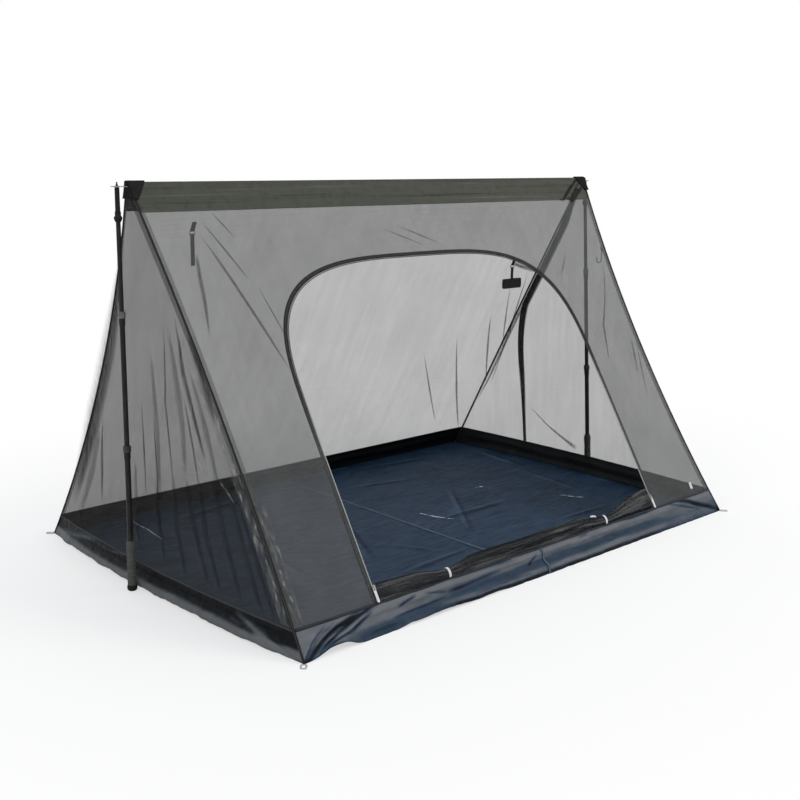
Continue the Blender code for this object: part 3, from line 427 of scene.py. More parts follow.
class Patchwork:
    """Collects grids of points that become one mesh."""

    def __init__(self):
        self.points, self.uvs, self.faces, self.slots, self.tones = [], [], [], [], []

    def grid(self, rows, uvs, around=False, slot=0):
        first, across = len(self.points), len(rows[0])
        for row, uv_row in zip(rows, uvs):
            self.points += row
            self.uvs += uv_row
        for r in range(len(rows) - 1):
            for c in range(across if around else across - 1):
                a, b = first + r * across + c, first + r * across + (c + 1) % across
                self.faces.append((a, b, b + across, a + across))
                self.slots.append(slot)

    def flat_grid(self, rows):
        """A grid whose UVs are its own lengths in metres."""
        middle = rows[len(rows) // 2]
        along, up = [0.0], [0.0]
        for a, b in zip(middle, middle[1:]):
            along.append(along[-1] + (b - a).length)
        centre = len(middle) // 2
        for a, b in zip(rows, rows[1:]):
            up.append(up[-1] + (b[centre] - a[centre]).length)
        self.grid(rows, [[(x, y) for x in along] for y in up])

    def strap(self, rows, step, slot=0):
        """A strap whose rows lie a step apart. V runs across it from 0 to 1."""
        last = len(rows[0]) - 1
        self.grid(rows, [[(i * step, k / last) for k in range(last + 1)] for i in range(len(rows))], slot=slot)

    def tube(self, path, rings):
        """Rings of points along a path, closed at both ends. UVs are metres along and 0 to 1 round."""
        first, around = len(self.points), len(rings[0])
        run = 0.0
        uvs = []
        for i, place in enumerate(path):
            run += (place - path[i - 1]).length if i else 0
            uvs.append([(run, k / around) for k in range(around)])
        self.grid(rings, uvs, around=True)
        last = first + (len(rings) - 1) * around
        self.faces += [tuple(range(first, first + around))[::-1], tuple(range(last, last + around))]
        self.slots += [0, 0]

    def build(self, name, finishes, body="tent", replaces=()):
        """The mesh as an object that rides on a body."""
        data = bpy.data.meshes.new(name)
        data.from_pydata([tuple(p) for p in self.points], [], self.faces)
        layer = data.uv_layers.new(name="UVMap")
        for loop in data.loops:
            layer.data[loop.index].uv = self.uvs[loop.vertex_index]
        data.shade_smooth()
        for finish in finishes if isinstance(finishes, tuple) else (finishes,):
            data.materials.append(finish)
        data.polygons.foreach_set("material_index", self.slots)
        if self.tones:
            data.attributes.new("tone", "FLOAT", "POINT").data.foreach_set("value", self.tones)
        obj = bpy.data.objects.new(name, data)
        link_in(obj)
        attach(obj, body)
        if replaces:
            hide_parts(*replaces)
        return obj


def thicken(obj, thickness, offset=0.0, other=0):
    solid = obj.modifiers.new("Thickness", "SOLIDIFY")
    solid.thickness = thickness
    solid.offset = offset
    solid.material_offset = other
    solid.material_offset_rim = other


def declare_sheet(obj):
    """Updates the cloth's mesh data."""
    obj.data.update()


def crease_height(a, b, lines):
    """How far cloth stands up at (a, b): each line is its two ends, its height and its width."""
    total = 0.0
    for (a0, b0), (a1, b1), height, width in lines:
        da, db = a1 - a0, b1 - b0
        k = min(1, max(0, ((a - a0) * da + (b - b0) * db) / (da * da + db * db)))
        away = math.hypot(a - a0 - da * k, b - b0 - db * k)
        if away < 3 * width:
            total += height * math.exp(-((away / width) ** 2)) * (0.25 + 0.75 * math.sin(math.pi * k))
    return total


def add_tones(work, lifts, along, up, lean, tones=None):
    """Painted light and shade: paler where a grid of cloth faces up and darker where it hangs over; lifts are its
    heights.
    """
    count, across = len(lifts), len(lifts[0])
    for r in range(count):
        for c in range(across):
            rise = (lifts[min(r + 1, count - 1)][c] - lifts[max(r - 1, 0)][c]) / (up * 2)
            turn = (lifts[r][min(c + 1, across - 1)] - lifts[r][max(c - 1, 0)]) / (along * 2)
            base = tones[r][c] if tones else 0.5
            work.tones.append(min(1, max(0, base - lean[0] * rise - lean[1] * turn)))


def round_cord(work, path, radius, around=8, widths=None):
    """A round cord along a path, with no twist."""
    rings = []
    side = None
    for i, p in enumerate(path):
        ahead_of = (path[min(i + 1, len(path) - 1)] - path[max(i - 1, 0)]).normalized()
        if side is None:
            side = ahead_of.orthogonal().normalized()
        side = (side - ahead_of * side.dot(ahead_of)).normalized()
        up = ahead_of.cross(side)
        r = radius * (widths[i] if widths else 1)
        rings.append([p + side * (r * math.cos(a)) + up * (r * math.sin(a)) for a in turn_angles(around)])
    work.tube(path, rings)


# Net panels

def slope_wave(side, x, s):
    """The slight waves of a taut net panel."""
    a = rough(x * 2.1, s * 1.3, 4.0 + side) * 2.2
    b = rough(x * 7 + s * 4.5, s * 1.4 - x * 1.2, 9.0 - side) * 1.3
    edge = smooth(0, 0.06, s - SILL) * smooth(0, 0.06, T_BAND * SLANT[side] - s)
    return (a + b) * 0.001 * edge


def arch_reach(angle, grow):
    """A place on the door's arch, grown by a distance, seen from the arch's centre."""
    c, s = math.cos(angle), max(math.sin(angle), 0)
    reach = (abs(c / (DOOR_HALF + grow)) ** POWER + (s / (RISE + grow)) ** POWER) ** (-1 / POWER)
    return DOOR_X + c * reach, SPRING + s * reach


def door_edge(grow, foot, count, legs, corners=()):
    """The door's outline, grown by a distance, as (x, distance up the slope) points."""
    leg = steps(SILL + foot, SPRING, legs)[:-1]
    angles = sorted([math.pi * i / count for i in range(count + 1)] + list(corners), reverse=True)
    left = [(DOOR_X - DOOR_HALF - grow, s) for s in leg]
    right = [(DOOR_X + DOOR_HALF + grow, s) for s in leg[::-1]]
    return left + [arch_reach(a, grow) for a in angles] + right


def fold(work, surface, path, widths, lift, slot):
    """A soft fold of net that lies along a panel, thickest in its middle."""
    widths = [width / 1000 for width in widths]
    count, spans = 20, len(path) - 1
    places = []
    for at in steps(0, spans, count):
        k = min(int(at), spans - 1)
        places.append(surface(mix(path[k][0], path[k + 1][0], at - k), mix(path[k][1], path[k + 1][1], at - k), lift))
    out = (surface(*path[0], lift + 0.01) - surface(*path[0], lift)).normalized()
    rows, uvs = [], []
    for i, f in enumerate(steps(0, len(widths) - 1, count)):
        side = (places[min(i + 1, count)] - places[max(i - 1, 0)]).cross(out).normalized()
        k = min(int(f), len(widths) - 2)
        half = mix(widths[k], widths[k + 1], f - k) / 2
        rows.append([places[i] + side * (half * c) + out * ((1 - c * c) * half * 0.2) for c in TAPE])
        uvs.append([(c, 0.02 + 0.96 * i / count) for c in (0, 0.25, 0.5, 0.75, 1)])
    work.grid(rows, uvs, slot=slot)


def add_folds(work, surface, place, side, folds, lift=0.0025, slot=1):
    for line, widths in folds:
        fold(work, surface, [place(side, *p) for p in line], widths, lift, slot)


def crinkle_strip(work, beside, end, side, t_high, width):
    """A crumpled strip beside a hip, on the end or the slope that meets there."""
    low = T_WALL + 0.004
    rows, uvs = [], []
    for i, t in enumerate(steps(low, t_high, 90)):
        row = []
        for share in steps(0, 1, 8):
            wave = 0.0022 * rough(t * 40, share * 3, 5.0 + end)
            row.append(beside(end, side, t, 0.004 + width * share, 0.0016 + wave))
        rows.append(row)
        uvs.append([(k / 8, i * (t_high - low) * HEIGHT / 90) for k in range(9)])
    work.grid(rows, uvs, slot=2)


def beside_on_end(end, side, t, inset, lift):
    """A place on an end panel, at a distance in from a hip."""
    return end_point(end, side * (1 - 2 * inset / width_at(end, t)), t, lift)


def beside_on_slope(end, side, t, inset, lift):
    """The same on a slope."""
    return slope_point(side, end * (1 - inset / hip_x(t)), t, lift)


def hem_strip(work, beside, end, side, heights, width):
    """A doubled edge of net beside a hip."""
    edge, inner = ([beside(end, side, t, inset, -0.0015) for t in heights] for inset in (NET_INSET, width))
    work.flat_grid([[mix(a, b, k) for a, b in zip(edge, inner)] for k in (0, 0.5, 1)])


def make_front_net(net, folded, crinkled):
    work = Patchwork()
    top = T_BAND * SLANT[-1] + 0.004
    corners = [math.atan2(top - SPRING, end * (hip_x(T_BAND) - NET_INSET) - DOOR_X) for end in (1, -1)]
    legs = 24
    inner = door_edge(0.006, 0.0, 44, legs, corners)

    def outer_for(index, point):
        """The place on the panel's border that faces a place on the door's edge."""
        x, s = point
        if index < legs or index >= len(inner) - legs:
            return (math.copysign(hip_x(s / SLANT[-1]) - NET_INSET, x - DOOR_X), s)
        dx, ds = x - DOOR_X, s - SPRING
        reach = (top - SPRING) / ds if ds > 1e-6 else 9.0
        for _ in range(30):
            limit = hip_x(min((SPRING + ds * reach) / SLANT[-1], 1)) - NET_INSET
            if abs(DOOR_X + dx * reach) > limit:
                reach = (math.copysign(limit, dx) - DOOR_X) / dx
        return (DOOR_X + dx * reach, SPRING + ds * reach)

    outer = [outer_for(i, p) for i, p in enumerate(inner)]
    rows, uvs = [], []
    for share in steps(0, 1, 14):
        line = [(mix(a[0], b[0], share), mix(a[1], b[1], share)) for a, b in zip(inner, outer)]
        rows.append([front_at(x, s, slope_wave(FRONT, x, s)) for x, s in line])
        uvs.append(line)
    work.grid(rows, uvs)
    for end in (LEFT, RIGHT):
        hem_strip(work, beside_on_slope, end, FRONT, steps(T_WALL, T_BAND, 40), 0.017)
    add_folds(work, lambda u, t, lift: slope_point(FRONT, u, t, -lift), on_slope, FRONT, FRONT_FOLDS)
    crinkle_strip(work, beside_on_slope, LEFT, FRONT, 0.30, 0.034)
    obj = work.build("front_net", (net, folded, crinkled), replaces=("net_front",))
    declare_sheet(obj)


def make_back_net(net, folded):
    work = Patchwork()
    rows, uvs = [], []
    for t in steps(T_WALL, T_BAND + 0.004, 40):
        edge = 1 - NET_INSET / hip_x(t)
        line = [(u * hip_x(t), t * SLANT[1]) for u in steps(-edge, edge, 70)]
        rows.append([slope_point(BACK, u, t, slope_wave(BACK, *p)) for u, p in zip(steps(-edge, edge, 70), line)])
        uvs.append(line)
    work.grid(rows, uvs)
    add_folds(work, lambda u, t, lift: slope_point(BACK, u, t, -lift), on_slope, BACK, BACK_FOLDS)
    obj = work.build("back_net", (net, folded), replaces=("net_back",))
    declare_sheet(obj)


def end_wave(end, v, t):
    """Slack vertical folds of an end panel, deepest below the middle."""
    swell = math.sin(math.pi * min(1, max(0, (t - T_WALL) / (0.98 - T_WALL)))) ** 0.8
    spread = mix(1.0, 0.35, t)
    a = math.sin(v * 15 + 2.2 * rough(v * 1.5, t * 1.2, 2.0 + end) + t * 1.5)
    b = rough(v * 9, t * 1.1, 7.0 + end)
    hips = smooth(0, 0.12, 1 - abs(v))
    strength = 0.0085 if end == LEFT else 0.004
    return strength * swell * hips * spread * (0.7 * a + 0.8 * b)


def make_end_net(end, word, net, folded, crinkled, crease_glint, shade, folds):
    work = Patchwork()
    rows = []
    top = 1 - 0.050 / HEIGHT
    for t in steps(T_WALL, top, 48):
        edge = 1 - 2 * NET_INSET / width_at(end, t)
        rows.append([end_point(end, v, t, end_wave(end, v, t)) for v in steps(-edge, edge, 80)])
    work.grid(rows, [[(p.y, p.z) for p in row] for row in rows])
    for side in (FRONT, BACK):
        width = 0.009 if (side, end) == (BACK, RIGHT) else 0.022
        hem_strip(work, beside_on_end, end, side, steps(T_WALL, top, 40), width)

    def on_panel(v, t, lift):
        return end_point(end, clamp(v, -0.985, 0.985), clamp(t, T_WALL, top), end_wave(end, v, t) - lift)

    add_folds(work, on_panel, on_end, end, folds)
    if end == LEFT:
        crinkle_strip(work, beside_on_end, LEFT, FRONT, 0.56, 0.046)
        add_folds(work, on_panel, on_end, LEFT, LEFT_CREASE_GLINTS, -0.002, 3)
        add_folds(work, on_panel, on_end, LEFT, LEFT_SHADES, -0.003, 4)
    obj = work.build(f"{word}_end_net", (net, folded, crinkled, crease_glint, shade), replaces=(f"net_{word}_end",))
    declare_sheet(obj)


# Folds of net: points in the photograph, and the widths along them in millimetres
FRONT_FOLDS = [
    ([(258, 286), (292, 346)], (2, 9, 2)),
    ([(380, 227), (425, 245)], (2, 8, 2)),
    ([(640, 338), (650, 400)], (2, 10, 2)),
]
BACK_FOLDS = [
    ([(198, 232), (245, 300), (293, 375)], (4, 14, 14, 4)),
    ([(200, 220), (249, 280)], (2, 10, 3)),
    ([(210, 211), (235, 238)], (2, 8, 2)),
    ([(195.5, 252), (199, 275), (205, 305), (209, 336)], (16, 22, 20, 8)),
    ([(456.5, 335), (457.5, 430)], (4, 18, 8)),
    ([(423.5, 352), (435.6, 424)], (3, 12, 4)),
    ([(491, 312), (486.5, 345), (482, 382)], (4, 18, 8)),
    ([(510, 286), (497, 350)], (4, 14, 4)),
    ([(526, 272), (505, 329), (485, 384)], (6, 18, 6)),
    ([(535, 271), (522, 266.5), (511, 262)], (24, 26, 24)),
    ([(535, 270), (522, 296), (509.5, 321), (497, 348.5), (484, 378.5), (473, 401.5)],
     (12, 34, 38, 32, 22, 10)),
    ([(396, 225), (440, 243)], (2, 9, 2)),
]
LEFT_FOLDS = [
    ([(161, 325), (165, 400), (174, 490)], (4, 14, 14, 6)),
    ([(173, 315), (183, 373), (195, 420), (207, 465)], (6, 34, 28, 12)),
    ([(184, 325), (200, 375), (214, 428)], (10, 50, 50, 16)),
    ([(182, 395), (197, 488)], (6, 16, 8)),
    ([(88, 395), (86, 468)], (6, 24, 14)),
    ([(102, 415), (102, 504)], (6, 24, 14)),
    ([(119, 235), (104, 340), (90, 430), (72, 505)], (20, 110, 120, 50)),
    ([(141, 400), (146, 500)], (4, 14, 6)),
    ([(152, 420), (158, 520)], (4, 16, 6)),
]
LEFT_SHADES = [
    ([(156, 480), (159, 520), (166, 566)], (16, 30, 18)), ([(174, 470), (178, 528), (187, 578)], (18, 34, 20)),
    ([(187, 478), (193, 520), (210, 588)], (16, 32, 18)), ([(199, 480), (205, 532), (222, 596)], (16, 34, 18)),
    ([(215, 480), (222, 520), (243, 604)], (18, 36, 18)), ([(229, 490), (244, 550), (264, 616)], (18, 36, 18)),
    ([(238, 500), (256, 560), (276, 622)], (14, 30, 14)), ([(100, 430), (92, 470), (80, 515)], (20, 50, 24)),
    ([(150, 350), (156, 430), (160, 500)], (16, 40, 18)), ([(168, 330), (178, 400), (186, 480)], (18, 46, 20)),
    ([(136, 460), (137, 500), (140, 550)], (14, 30, 14)), ([(190, 370), (206, 430), (222, 500)], (14, 36, 16)),
]
# Pale streaks on the left end's creases: painted highlights.
LEFT_CREASE_GLINTS = [
    ([(133, 521), (148, 529), (162, 539)], (2, 6, 2)),
    ([(196, 458), (203, 468), (209, 474)], (2, 10, 2)),
    ([(219, 480), (226, 490), (234, 503)], (3, 12, 4)),
    ([(104, 424), (99, 430), (98, 440)], (2, 8, 2)),
    ([(183, 464), (190, 473), (199, 472)], (2, 4, 2)),
    ([(224, 524), (230, 526)], (1, 3, 1)),
]
RIGHT_FOLDS = [
    ([(566, 253), (561, 277)], (2, 10, 3)),
    ([(603, 262), (604, 324), (610, 362)], (4, 14, 6)),
    ([(631, 337), (638, 374)], (3, 12, 4)),
    ([(530, 406), (548, 425), (566, 440), (578, 449)], (4, 10, 18, 30)),
]
# Dark strips over the ridge band's right end: painted crease shadow.
RIDGE_SHADE_STRIPS = [
    ([(585, 178), (579, 188), (569, 206)], (30, 40, 30)),
    ([(577, 178), (569, 190), (560, 206)], (10, 18, 10)),
]


def make_gather(bundle):
    """Spare net in the right end, in three layers: it follows the back hip, then drops to the wall."""
    work = Patchwork()
    rows = []
    for share in steps(0, 1, 90):
        t = mix(T_WALL + 0.001, 1 - 0.057 / HEIGHT, share)
        front, back = slope_point(FRONT, RIGHT, t).y, slope_point(BACK, RIGHT, t).y
        y = min(back - 0.026 * min(1, (1 - t) * 6), along_line(GATHER, t))
        width = mix(0.014, 0.034, min(1, t / 0.60)) * min(1, (1 - t) * 7)
        v = 2 * (y - front) / (back - front) - 1
        row = []
        for k in range(31):
            layer = min(k // 10, 2)
            r = (k - 10 * layer) / 10
            across = (2 * r - 1) * (-1) ** layer * (1 - 0.14 * layer * (1 + math.sin(share * 8 + layer)) / 2)
            pleat = 0.0011 * math.sin(across * 6 + share * 16 + layer * 2)
            lift = -0.0022 - 0.0019 * (layer + 0.5 * r) - pleat
            row.append(end_point(RIGHT, v + width * across / (back - front), t, lift))
        rows.append(row)
    work.grid(rows, [[((i + 1) * 0.0139, k / 30) for k in range(31)] for i in range(len(rows))])
    obj = work.build("net_gather_folds", bundle, replaces=("net_gather",))
    declare_sheet(obj)


# Solid cloth

def on_floor(px, py):
    """(x, y) on the ground, for a pixel of the photograph."""
    d = ray(px, py)
    k = -EYE.z / d.z
    return EYE.x + d.x * k, EYE.y + d.y * k


def on_end_metres(px, py):
    """(y, height) on the left end, for a pixel of the photograph."""
    v, t = on_end(LEFT, px, py)
    return v * width_at(LEFT, t) / 2, t * HEIGHT


def front_metres(px, py):
    """(x, distance up the slope) on the front, for a pixel of the photograph."""
    u, t = on_slope(FRONT, px, py)
    return u * hip_x(t), t * SLANT[-1]


# Creases of the floor: two points in the photograph, height and half width in millimetres
FLOOR_CREASES = [
    ((352, 488), (412, 480), 3, 12), ((360, 470), (430, 458), 3, 14), ((420, 462), (470, 474), 2.5, 10),
    ((440, 520), (510, 500), 2.5, 12), ((500, 560), (560, 536), 2, 12), ((520, 470), (585, 492), 2.5, 14),
    ((560, 520), (610, 505), 2.5, 10), ((380, 545), (440, 552), 2.5, 12), ((400, 575), (470, 548), 2, 10),
    ((480, 452), (520, 466), 3, 12), ((340, 520), (372, 560), 2.5, 14), ((250, 540), (310, 580), 3, 16),
    ((180, 520), (240, 500), 3, 16), ((590, 478), (630, 486), 3, 10), ((450, 490), (470, 530), 2, 10),
]
# Folds of a wall: points in the photograph, half width in millimetres, and how pale (or dark, below zero) as painted
# highlight (or painted shade), which also sets how far the fold stands out
FRONT_STROKES = [
    ([(358, 613), (338.5, 627.5), (322, 645), (305, 666)], 6.8, -1.10),
    ([(376, 603.5), (355, 619), (338.5, 635.5), (321, 655)], 5.6, -1.00),
    ([(371, 612.5), (355, 629), (338, 644), (328, 653)], 5, -0.75),
    ([(359, 615), (342, 631.5), (322, 648)], 3.6, 0.30), ([(365, 614), (352, 628), (335, 643.5)], 3.4, 0.30),
    ([(325, 627), (312, 645), (304, 664)], 4, -0.40), ([(316, 632), (308, 650), (303, 662)], 4, 0.16),
    ([(333, 624), (318, 641), (305, 662)], 3.6, -0.30), ([(345, 650), (330, 655), (316, 662)], 5, -0.60),
    ([(400, 623.5), (375, 633), (350, 646)], 7, -0.16), ([(399, 607), (415, 595.5)], 4.5, -0.65),
    ([(395, 618), (420, 608), (445, 598)], 3.4, -0.55), ([(424, 593.5), (446, 592)], 3.4, -0.40),
    ([(450, 591.5), (469, 584), (500, 571)], 4.5, -0.55), ([(454, 577), (480, 569), (511, 560)], 6, -0.40),
    ([(529, 565), (536, 555.5)], 4, -0.45), ([(578, 538), (587, 534)], 4.5, -0.35),
    ([(613, 521), (630, 518), (646, 512), (653, 508)], 6, -0.70), ([(664, 503.6), (680, 506), (699, 508.5)], 4, -0.45),
    ([(670, 499.5), (690, 502), (700, 504.5), (719, 509)], 7, -1.30), ([(672, 498), (690, 496.5), (697, 494)], 4, 0.30),
    ([(560, 560), (600, 546), (640, 530)], 5, 0.12), ([(470, 597), (500, 585), (530, 574)], 4, -0.30),
]
LEFT_STROKES = [
    ([(238, 613.6), (268, 636.8), (295, 662)], 9.5, 0.75), ([(56, 530.5), (75, 533.6), (97, 539.5)], 11, 0.60),
    ([(97, 543), (111, 551), (125, 554)], 4, 0.40), ([(151, 567), (165, 573), (185, 583)], 4, 0.40),
    ([(262, 624), (280, 643), (298, 662)], 5, -0.40), ([(231, 616), (244, 624)], 4, 0.30),
]
# Bands of painted light and shade that run along a wall: share of its height, and how pale
FRONT_LOW = ((0, 0.30), (0.09, 0.46), (0.20, 0.24), (0.32, 0.30), (0.44, 0.72), (0.93, 0.76), (1, 0.30))
RIGHT_CORNER = ((0, 0.02), (0.08, 0.40), (0.26, 0.52), (0.42, 0.40), (0.62, 0.62), (0.95, 0.64), (1, 0.20))
FRONT_CORNER = ((0, 0.34), (0.10, 0.62), (0.30, 0.72), (0.93, 0.74), (1, 0.30))
FRONT_HIGH = (
    (0, 0.0), (0.09, 0.02), (0.17, 0.70), (0.27, 0.64), (0.38, 0.15), (0.57, 0.20), (0.68, 0.74), (0.93, 0.68),
    (1, 0.2),
)
LEFT_BANDS = ((0, 0.35), (0.08, 0.74), (0.33, 0.80), (0.41, 0.50), (0.48, 0.02), (0.90, 0.0), (1, 0.10))
PLAIN_BANDS = ((0, 0.10), (0.12, 0.50), (0.30, 0.30), (0.55, 0.40), (0.80, 0.55), (1, 0.30))


def trace(place, strokes):
    return [([place(*p) for p in points], width / 1000, tone) for points, width, tone in strokes]


def stroke_tone(a, b, strokes):
    """How much paler or darker traced folds make the cloth at (a, b): painted highlight and painted shade."""
    total = 0.0
    for points, width, tone in strokes:
        reach = 3 * width
        best, where = reach, 0.0
        for k, ((a0, b0), (a1, b1)) in enumerate(zip(points, points[1:])):
            if min(a0, a1) - reach < a < max(a0, a1) + reach:
                da, db = a1 - a0, b1 - b0
                share = min(1, max(0, ((a - a0) * da + (b - b0) * db) / (da * da + db * db)))
                away = math.hypot(a - a0 - da * share, b - b0 - db * share)
                if away < best:
                    best, where = away, (k + share) / (len(points) - 1)
        if best < reach:
            total += tone * math.exp(-((best / width) ** 2)) * min(1, 0.35 + 4 * where * (1 - where))
    return total


def side_foot(x, side):
    """How far the foot of the front or back wall stands out, at a place along it."""
    return clamp(side_drape(x, 0, side, smooth(0, 0.16, LENGTH / 2 - abs(x))), *SIDE_LIFT)


def end_foot(y, end):
    """The same for an end wall."""
    corner = smooth(0, 0.16, WIDTH / 2 - abs(y))
    lift = 0.6 * wall_drape(y * 1.3, 0, 13.0 + end, 1) + 1.6 * foot_bumps(y, 0, 9.0 + end)
    return clamp(lift * corner, *END_LIFT)


def make_floor(cloth):
    lines = [(on_floor(*a), on_floor(*b), height / 1000, width / 1000) for a, b, height, width in FLOOR_CREASES]
    for end, word in ENDS:
        work = Patchwork()
        rows, lifts = [], []
        for v in steps(-1, 1, 170):
            edge = end_point(end, v, 0)
            side = FRONT if edge.y < 0 else BACK
            near_side = WIDTH / 2 - abs(edge.y)
            at_side = smooth(0.05, 0.001, near_side)
            reach = edge.x + end * (end_foot(edge.y, end) + 0.0004)
            row, heights = [], []
            for share in steps(0, 1, 120):
                x = mix(end * 0.00015, edge.x, share)
                near_end = abs(edge.x - x)
                ripple = rough(x * 3.1, edge.y * 9.0 + x * 2, 1.0) + 0.5 * rough(x * 9, edge.y * 21, 5.0)
                lift = 1.6 * crease_height(x, edge.y, lines) + 0.0022 * max(ripple, -0.4) + 0.0009
                heights.append(max(lift, 0) * smooth(0, 0.04, min(near_side, near_end)))
                rise = edge_rise(x, FRONT) * smooth(0.13, 0, edge.y + WIDTH / 2)
                foot = side_foot(x, side)
                y = edge.y + at_side * (OUT[side].y * foot + side * 0.0004)
                sill = at_side * (max(0.0004 + OUT[side].z * foot, 0.0004) - 0.0010)
                out = smooth(0.05, 0.001, near_end) * (reach - edge.x)
                row.append(Vector((x + out, y, 0.0012 + heights[-1] + rise + max(sill, -0.0004))))
            rows.append(row[::end])
            lifts.append(heights[::end])
        work.flat_grid(rows)
        add_tones(work, lifts, 0.0088, 0.0086, (3.2, -1.2))
        obj = work.build(f"floor_cloth_{word}", cloth, replaces=(f"floor_{word}",))
        thicken(obj, 0.0006, -1)
        declare_sheet(obj)


def make_floor_seam(seam):
    """The tape over the seam across the middle of the floor."""
    work = Patchwork()
    shape = ((-0.011, 0), (-0.004, 0.0002), (-0.0028, 0.0012), (0, 0.0016))
    shape += tuple((-x, h) for x, h in shape[2::-1])
    rows = []
    for y in steps(-WIDTH / 2 + 0.02, WIDTH / 2 - 0.02, 140):
        wave = 0.0012 * rough(0.0, y * 9.0, 1.0)
        rows.append([Vector((x, y, 0.0024 + max(wave, 0) + h)) for x, h in shape])
    work.grid(rows, [[(r[3].y, k / 6) for k in range(7)] for r in rows])
    obj = work.build("floor_seam", seam, replaces=("floor_seam_tape",))
    thicken(obj, 0.0005, -1)
    declare_sheet(obj)


# Points in the photograph, and widths in millimetres
FLOOR_MARKS = [
    ([(420, 514.5), (436, 518), (453, 520)], (9, 13, 9)), ([(560, 496), (572, 497.5), (585, 498.5)], (9, 13, 9)),
    ([(476, 488.7), (483, 487.3)], (10, 13, 10)),
]


def make_floor_marks(crease_glint):
    """Pale scratches on the floor."""
    for number, (line, widths) in enumerate(FLOOR_MARKS):
        work = Patchwork()
        path = [on_floor(*p) for p in line]
        fold(work, lambda x, y, lift: Vector((x, y, 0.0052 - lift)), path, widths, 0.0, 0)
        obj = work.build(f"floor_scratch_{number + 1}", crease_glint)
        declare_sheet(obj)


def make_tag(white):
    """A small blank tag sewn into the sill seam, right of the door."""
    work = Patchwork()
    x, s = front_metres(692, 489)
    rows = []
    for share in steps(0, 1, 12):
        up = 0.026 * share
        lift = 0.0022 + 0.004 * share ** 2
        rows.append([front_at(x + 0.007 * k - 0.1 * up, s + up, lift + 0.0006 * k) for k in TAPE])
    work.strap(rows, 0.0022)
    obj = work.build("sewn_tag", white)
    thicken(obj, 0.0004)
    declare_sheet(obj)


def wall_drape(x, h, seed, corner):
    """How far slack wall cloth stands out: a rounded foot, a hollow above it and a roll under the hem."""
    shift = 0.10 * rough(x * 2.3, seed, 1.0) + 0.05 * rough(x * 7.0, seed, 6.0)
    q = clamp(h + shift * math.sin(math.pi * h), 0, 1)
    foot = 0.0085 * math.sin(math.pi * min(1, q / 0.46)) ** 1.2
    hollow = -0.0060 * math.sin(math.pi * clamp((q - 0.40) / 0.34, 0, 1))
    brow = 0.0045 * math.sin(math.pi * clamp((q - 0.68) / 0.32, 0, 1))
    size = 0.75 + 0.55 * rough(x * 1.7, seed, 3.0)
    small = 0.0022 * rough(x * 10, h * 2.6 + x * 3, seed) + 0.0009 * rough(x * 31, h * 5, seed)
    return ((foot + hollow + brow) * size * corner + small) * math.sin(math.pi * min(1, h * 0.97 + 0.015)) ** 0.35


def foot_bumps(x, h, seed):
    """The uneven lower edge, where the cloth bunches on the ground."""
    return max(0, 1 - h / 0.22) * (0.0050 * rough(x * 14, seed, 0.0) + 0.0035 * rough(x * 37, seed, 4.0))


def side_drape(x, h, side, corner=1):
    """How far the front or back wall stands out before its traced folds."""
    return wall_drape(x, h, 3.0 + side, corner) + foot_bumps(x, h, 2.0 + side) * corner


BELLY = ((0, 0.0), (0.03, 0.55), (0.09, 0.85), (0.20, 1.0), (0.45, 0.62), (0.70, 0.18), (1.0, 0.0))
EDGE_RISES = (
    (-0.945, 0.020, 0.050), (-0.890, 0.013, 0.035), (-0.500, 0.010, 0.120), (-0.640, 0.004, 0.040),
    (-0.270, 0.005, 0.060),
)


def edge_rise(x, side):
    """The front's lower edge is off the ground in places, where the corner's pleats pull it up."""
    if side != FRONT:
        return 0.0
    high = sum(size * math.exp(-(((x - at) / wide) ** 2)) for at, size, wide in EDGE_RISES)
    return high + 0.0020 * max(0, rough(x * 16, 7.0, 2.0))


def side_tone(x, h, side):
    """The painted bands of light and shade on the front wall differ at its corners and along it; the back's are plain.
    """
    if side == BACK:
        return band_tone(x, h, PLAIN_BANDS, 5.0)
    low, high, corner, far = (
        band_tone(x, h, bands, 1.0) for bands in (FRONT_LOW, FRONT_HIGH, FRONT_CORNER, RIGHT_CORNER))
    bands = mix(corner, mix(low, high, smooth(-0.62, -0.36, x)), smooth(-0.93, -0.78, x))
    return mix(bands, far, smooth(0.55, 0.80, x))


def wall_height(h):
    """Where a share of a wall's height is, as a share of the tent's."""
    return mix(0.0003, T_WALL - 0.0004, h)


def side_wall_row(side, strokes, h):
    """A row of a front or back wall: each place's point, how far it stands out, and its tone."""
    t = wall_height(h)
    edge = 1 - CLOTH_INSET / hip_x(t)
    held = math.sin(math.pi * min(h * 0.94 + 0.03, 1))
    row = []
    for u in steps(-edge, -0.66, 150) + steps(-0.66, edge, 330)[1:]:
        x = u * hip_x(t)
        drawn = stroke_tone(x, t * SLANT[side], strokes)
        corner = smooth(0, 0.16, LENGTH / 2 - abs(x))
        lift = clamp(side_drape(x, h, side, corner) + 0.0060 * drawn * held, *SIDE_LIFT)
        p = slope_point(side, u, t, lift)
        p.z = max(p.z, 0.0004) + edge_rise(x, side) * (1 - h) ** 2
        row.append((p, lift, side_tone(x, h, side) + drawn))
    return row[::-side]


def end_wall_row(end, strokes, h):
    """The same for an end wall."""
    t = wall_height(h)
    wide = width_at(end, t)
    edge = 1 - 2 * CLOTH_INSET / wide
    row = []
    for v in steps(-edge, edge, 340):
        y = v * wide / 2
        corner = smooth(0, 0.16, wide / 2 - abs(y))
        drawn = stroke_tone(y, t * HEIGHT, strokes)
        belly = (0.019 if end == LEFT else 0.010) * along_line(BELLY, h) * (1 + 0.25 * rough(y * 3, 4.0, end))
        lift = (belly + 0.6 * wall_drape(y * 1.3, h, 13.0 + end, 1)) * corner
        lift += 1.6 * foot_bumps(y, h, 9.0 + end) * corner
        lift = clamp(lift + 0.0040 * drawn * math.sin(math.pi * h), *END_LIFT)
        tone = band_tone(y, h, LEFT_BANDS if end == LEFT else PLAIN_BANDS, 3.0) + drawn
        row.append((end_point(end, v, t, lift), lift, tone))
    return row[::end]


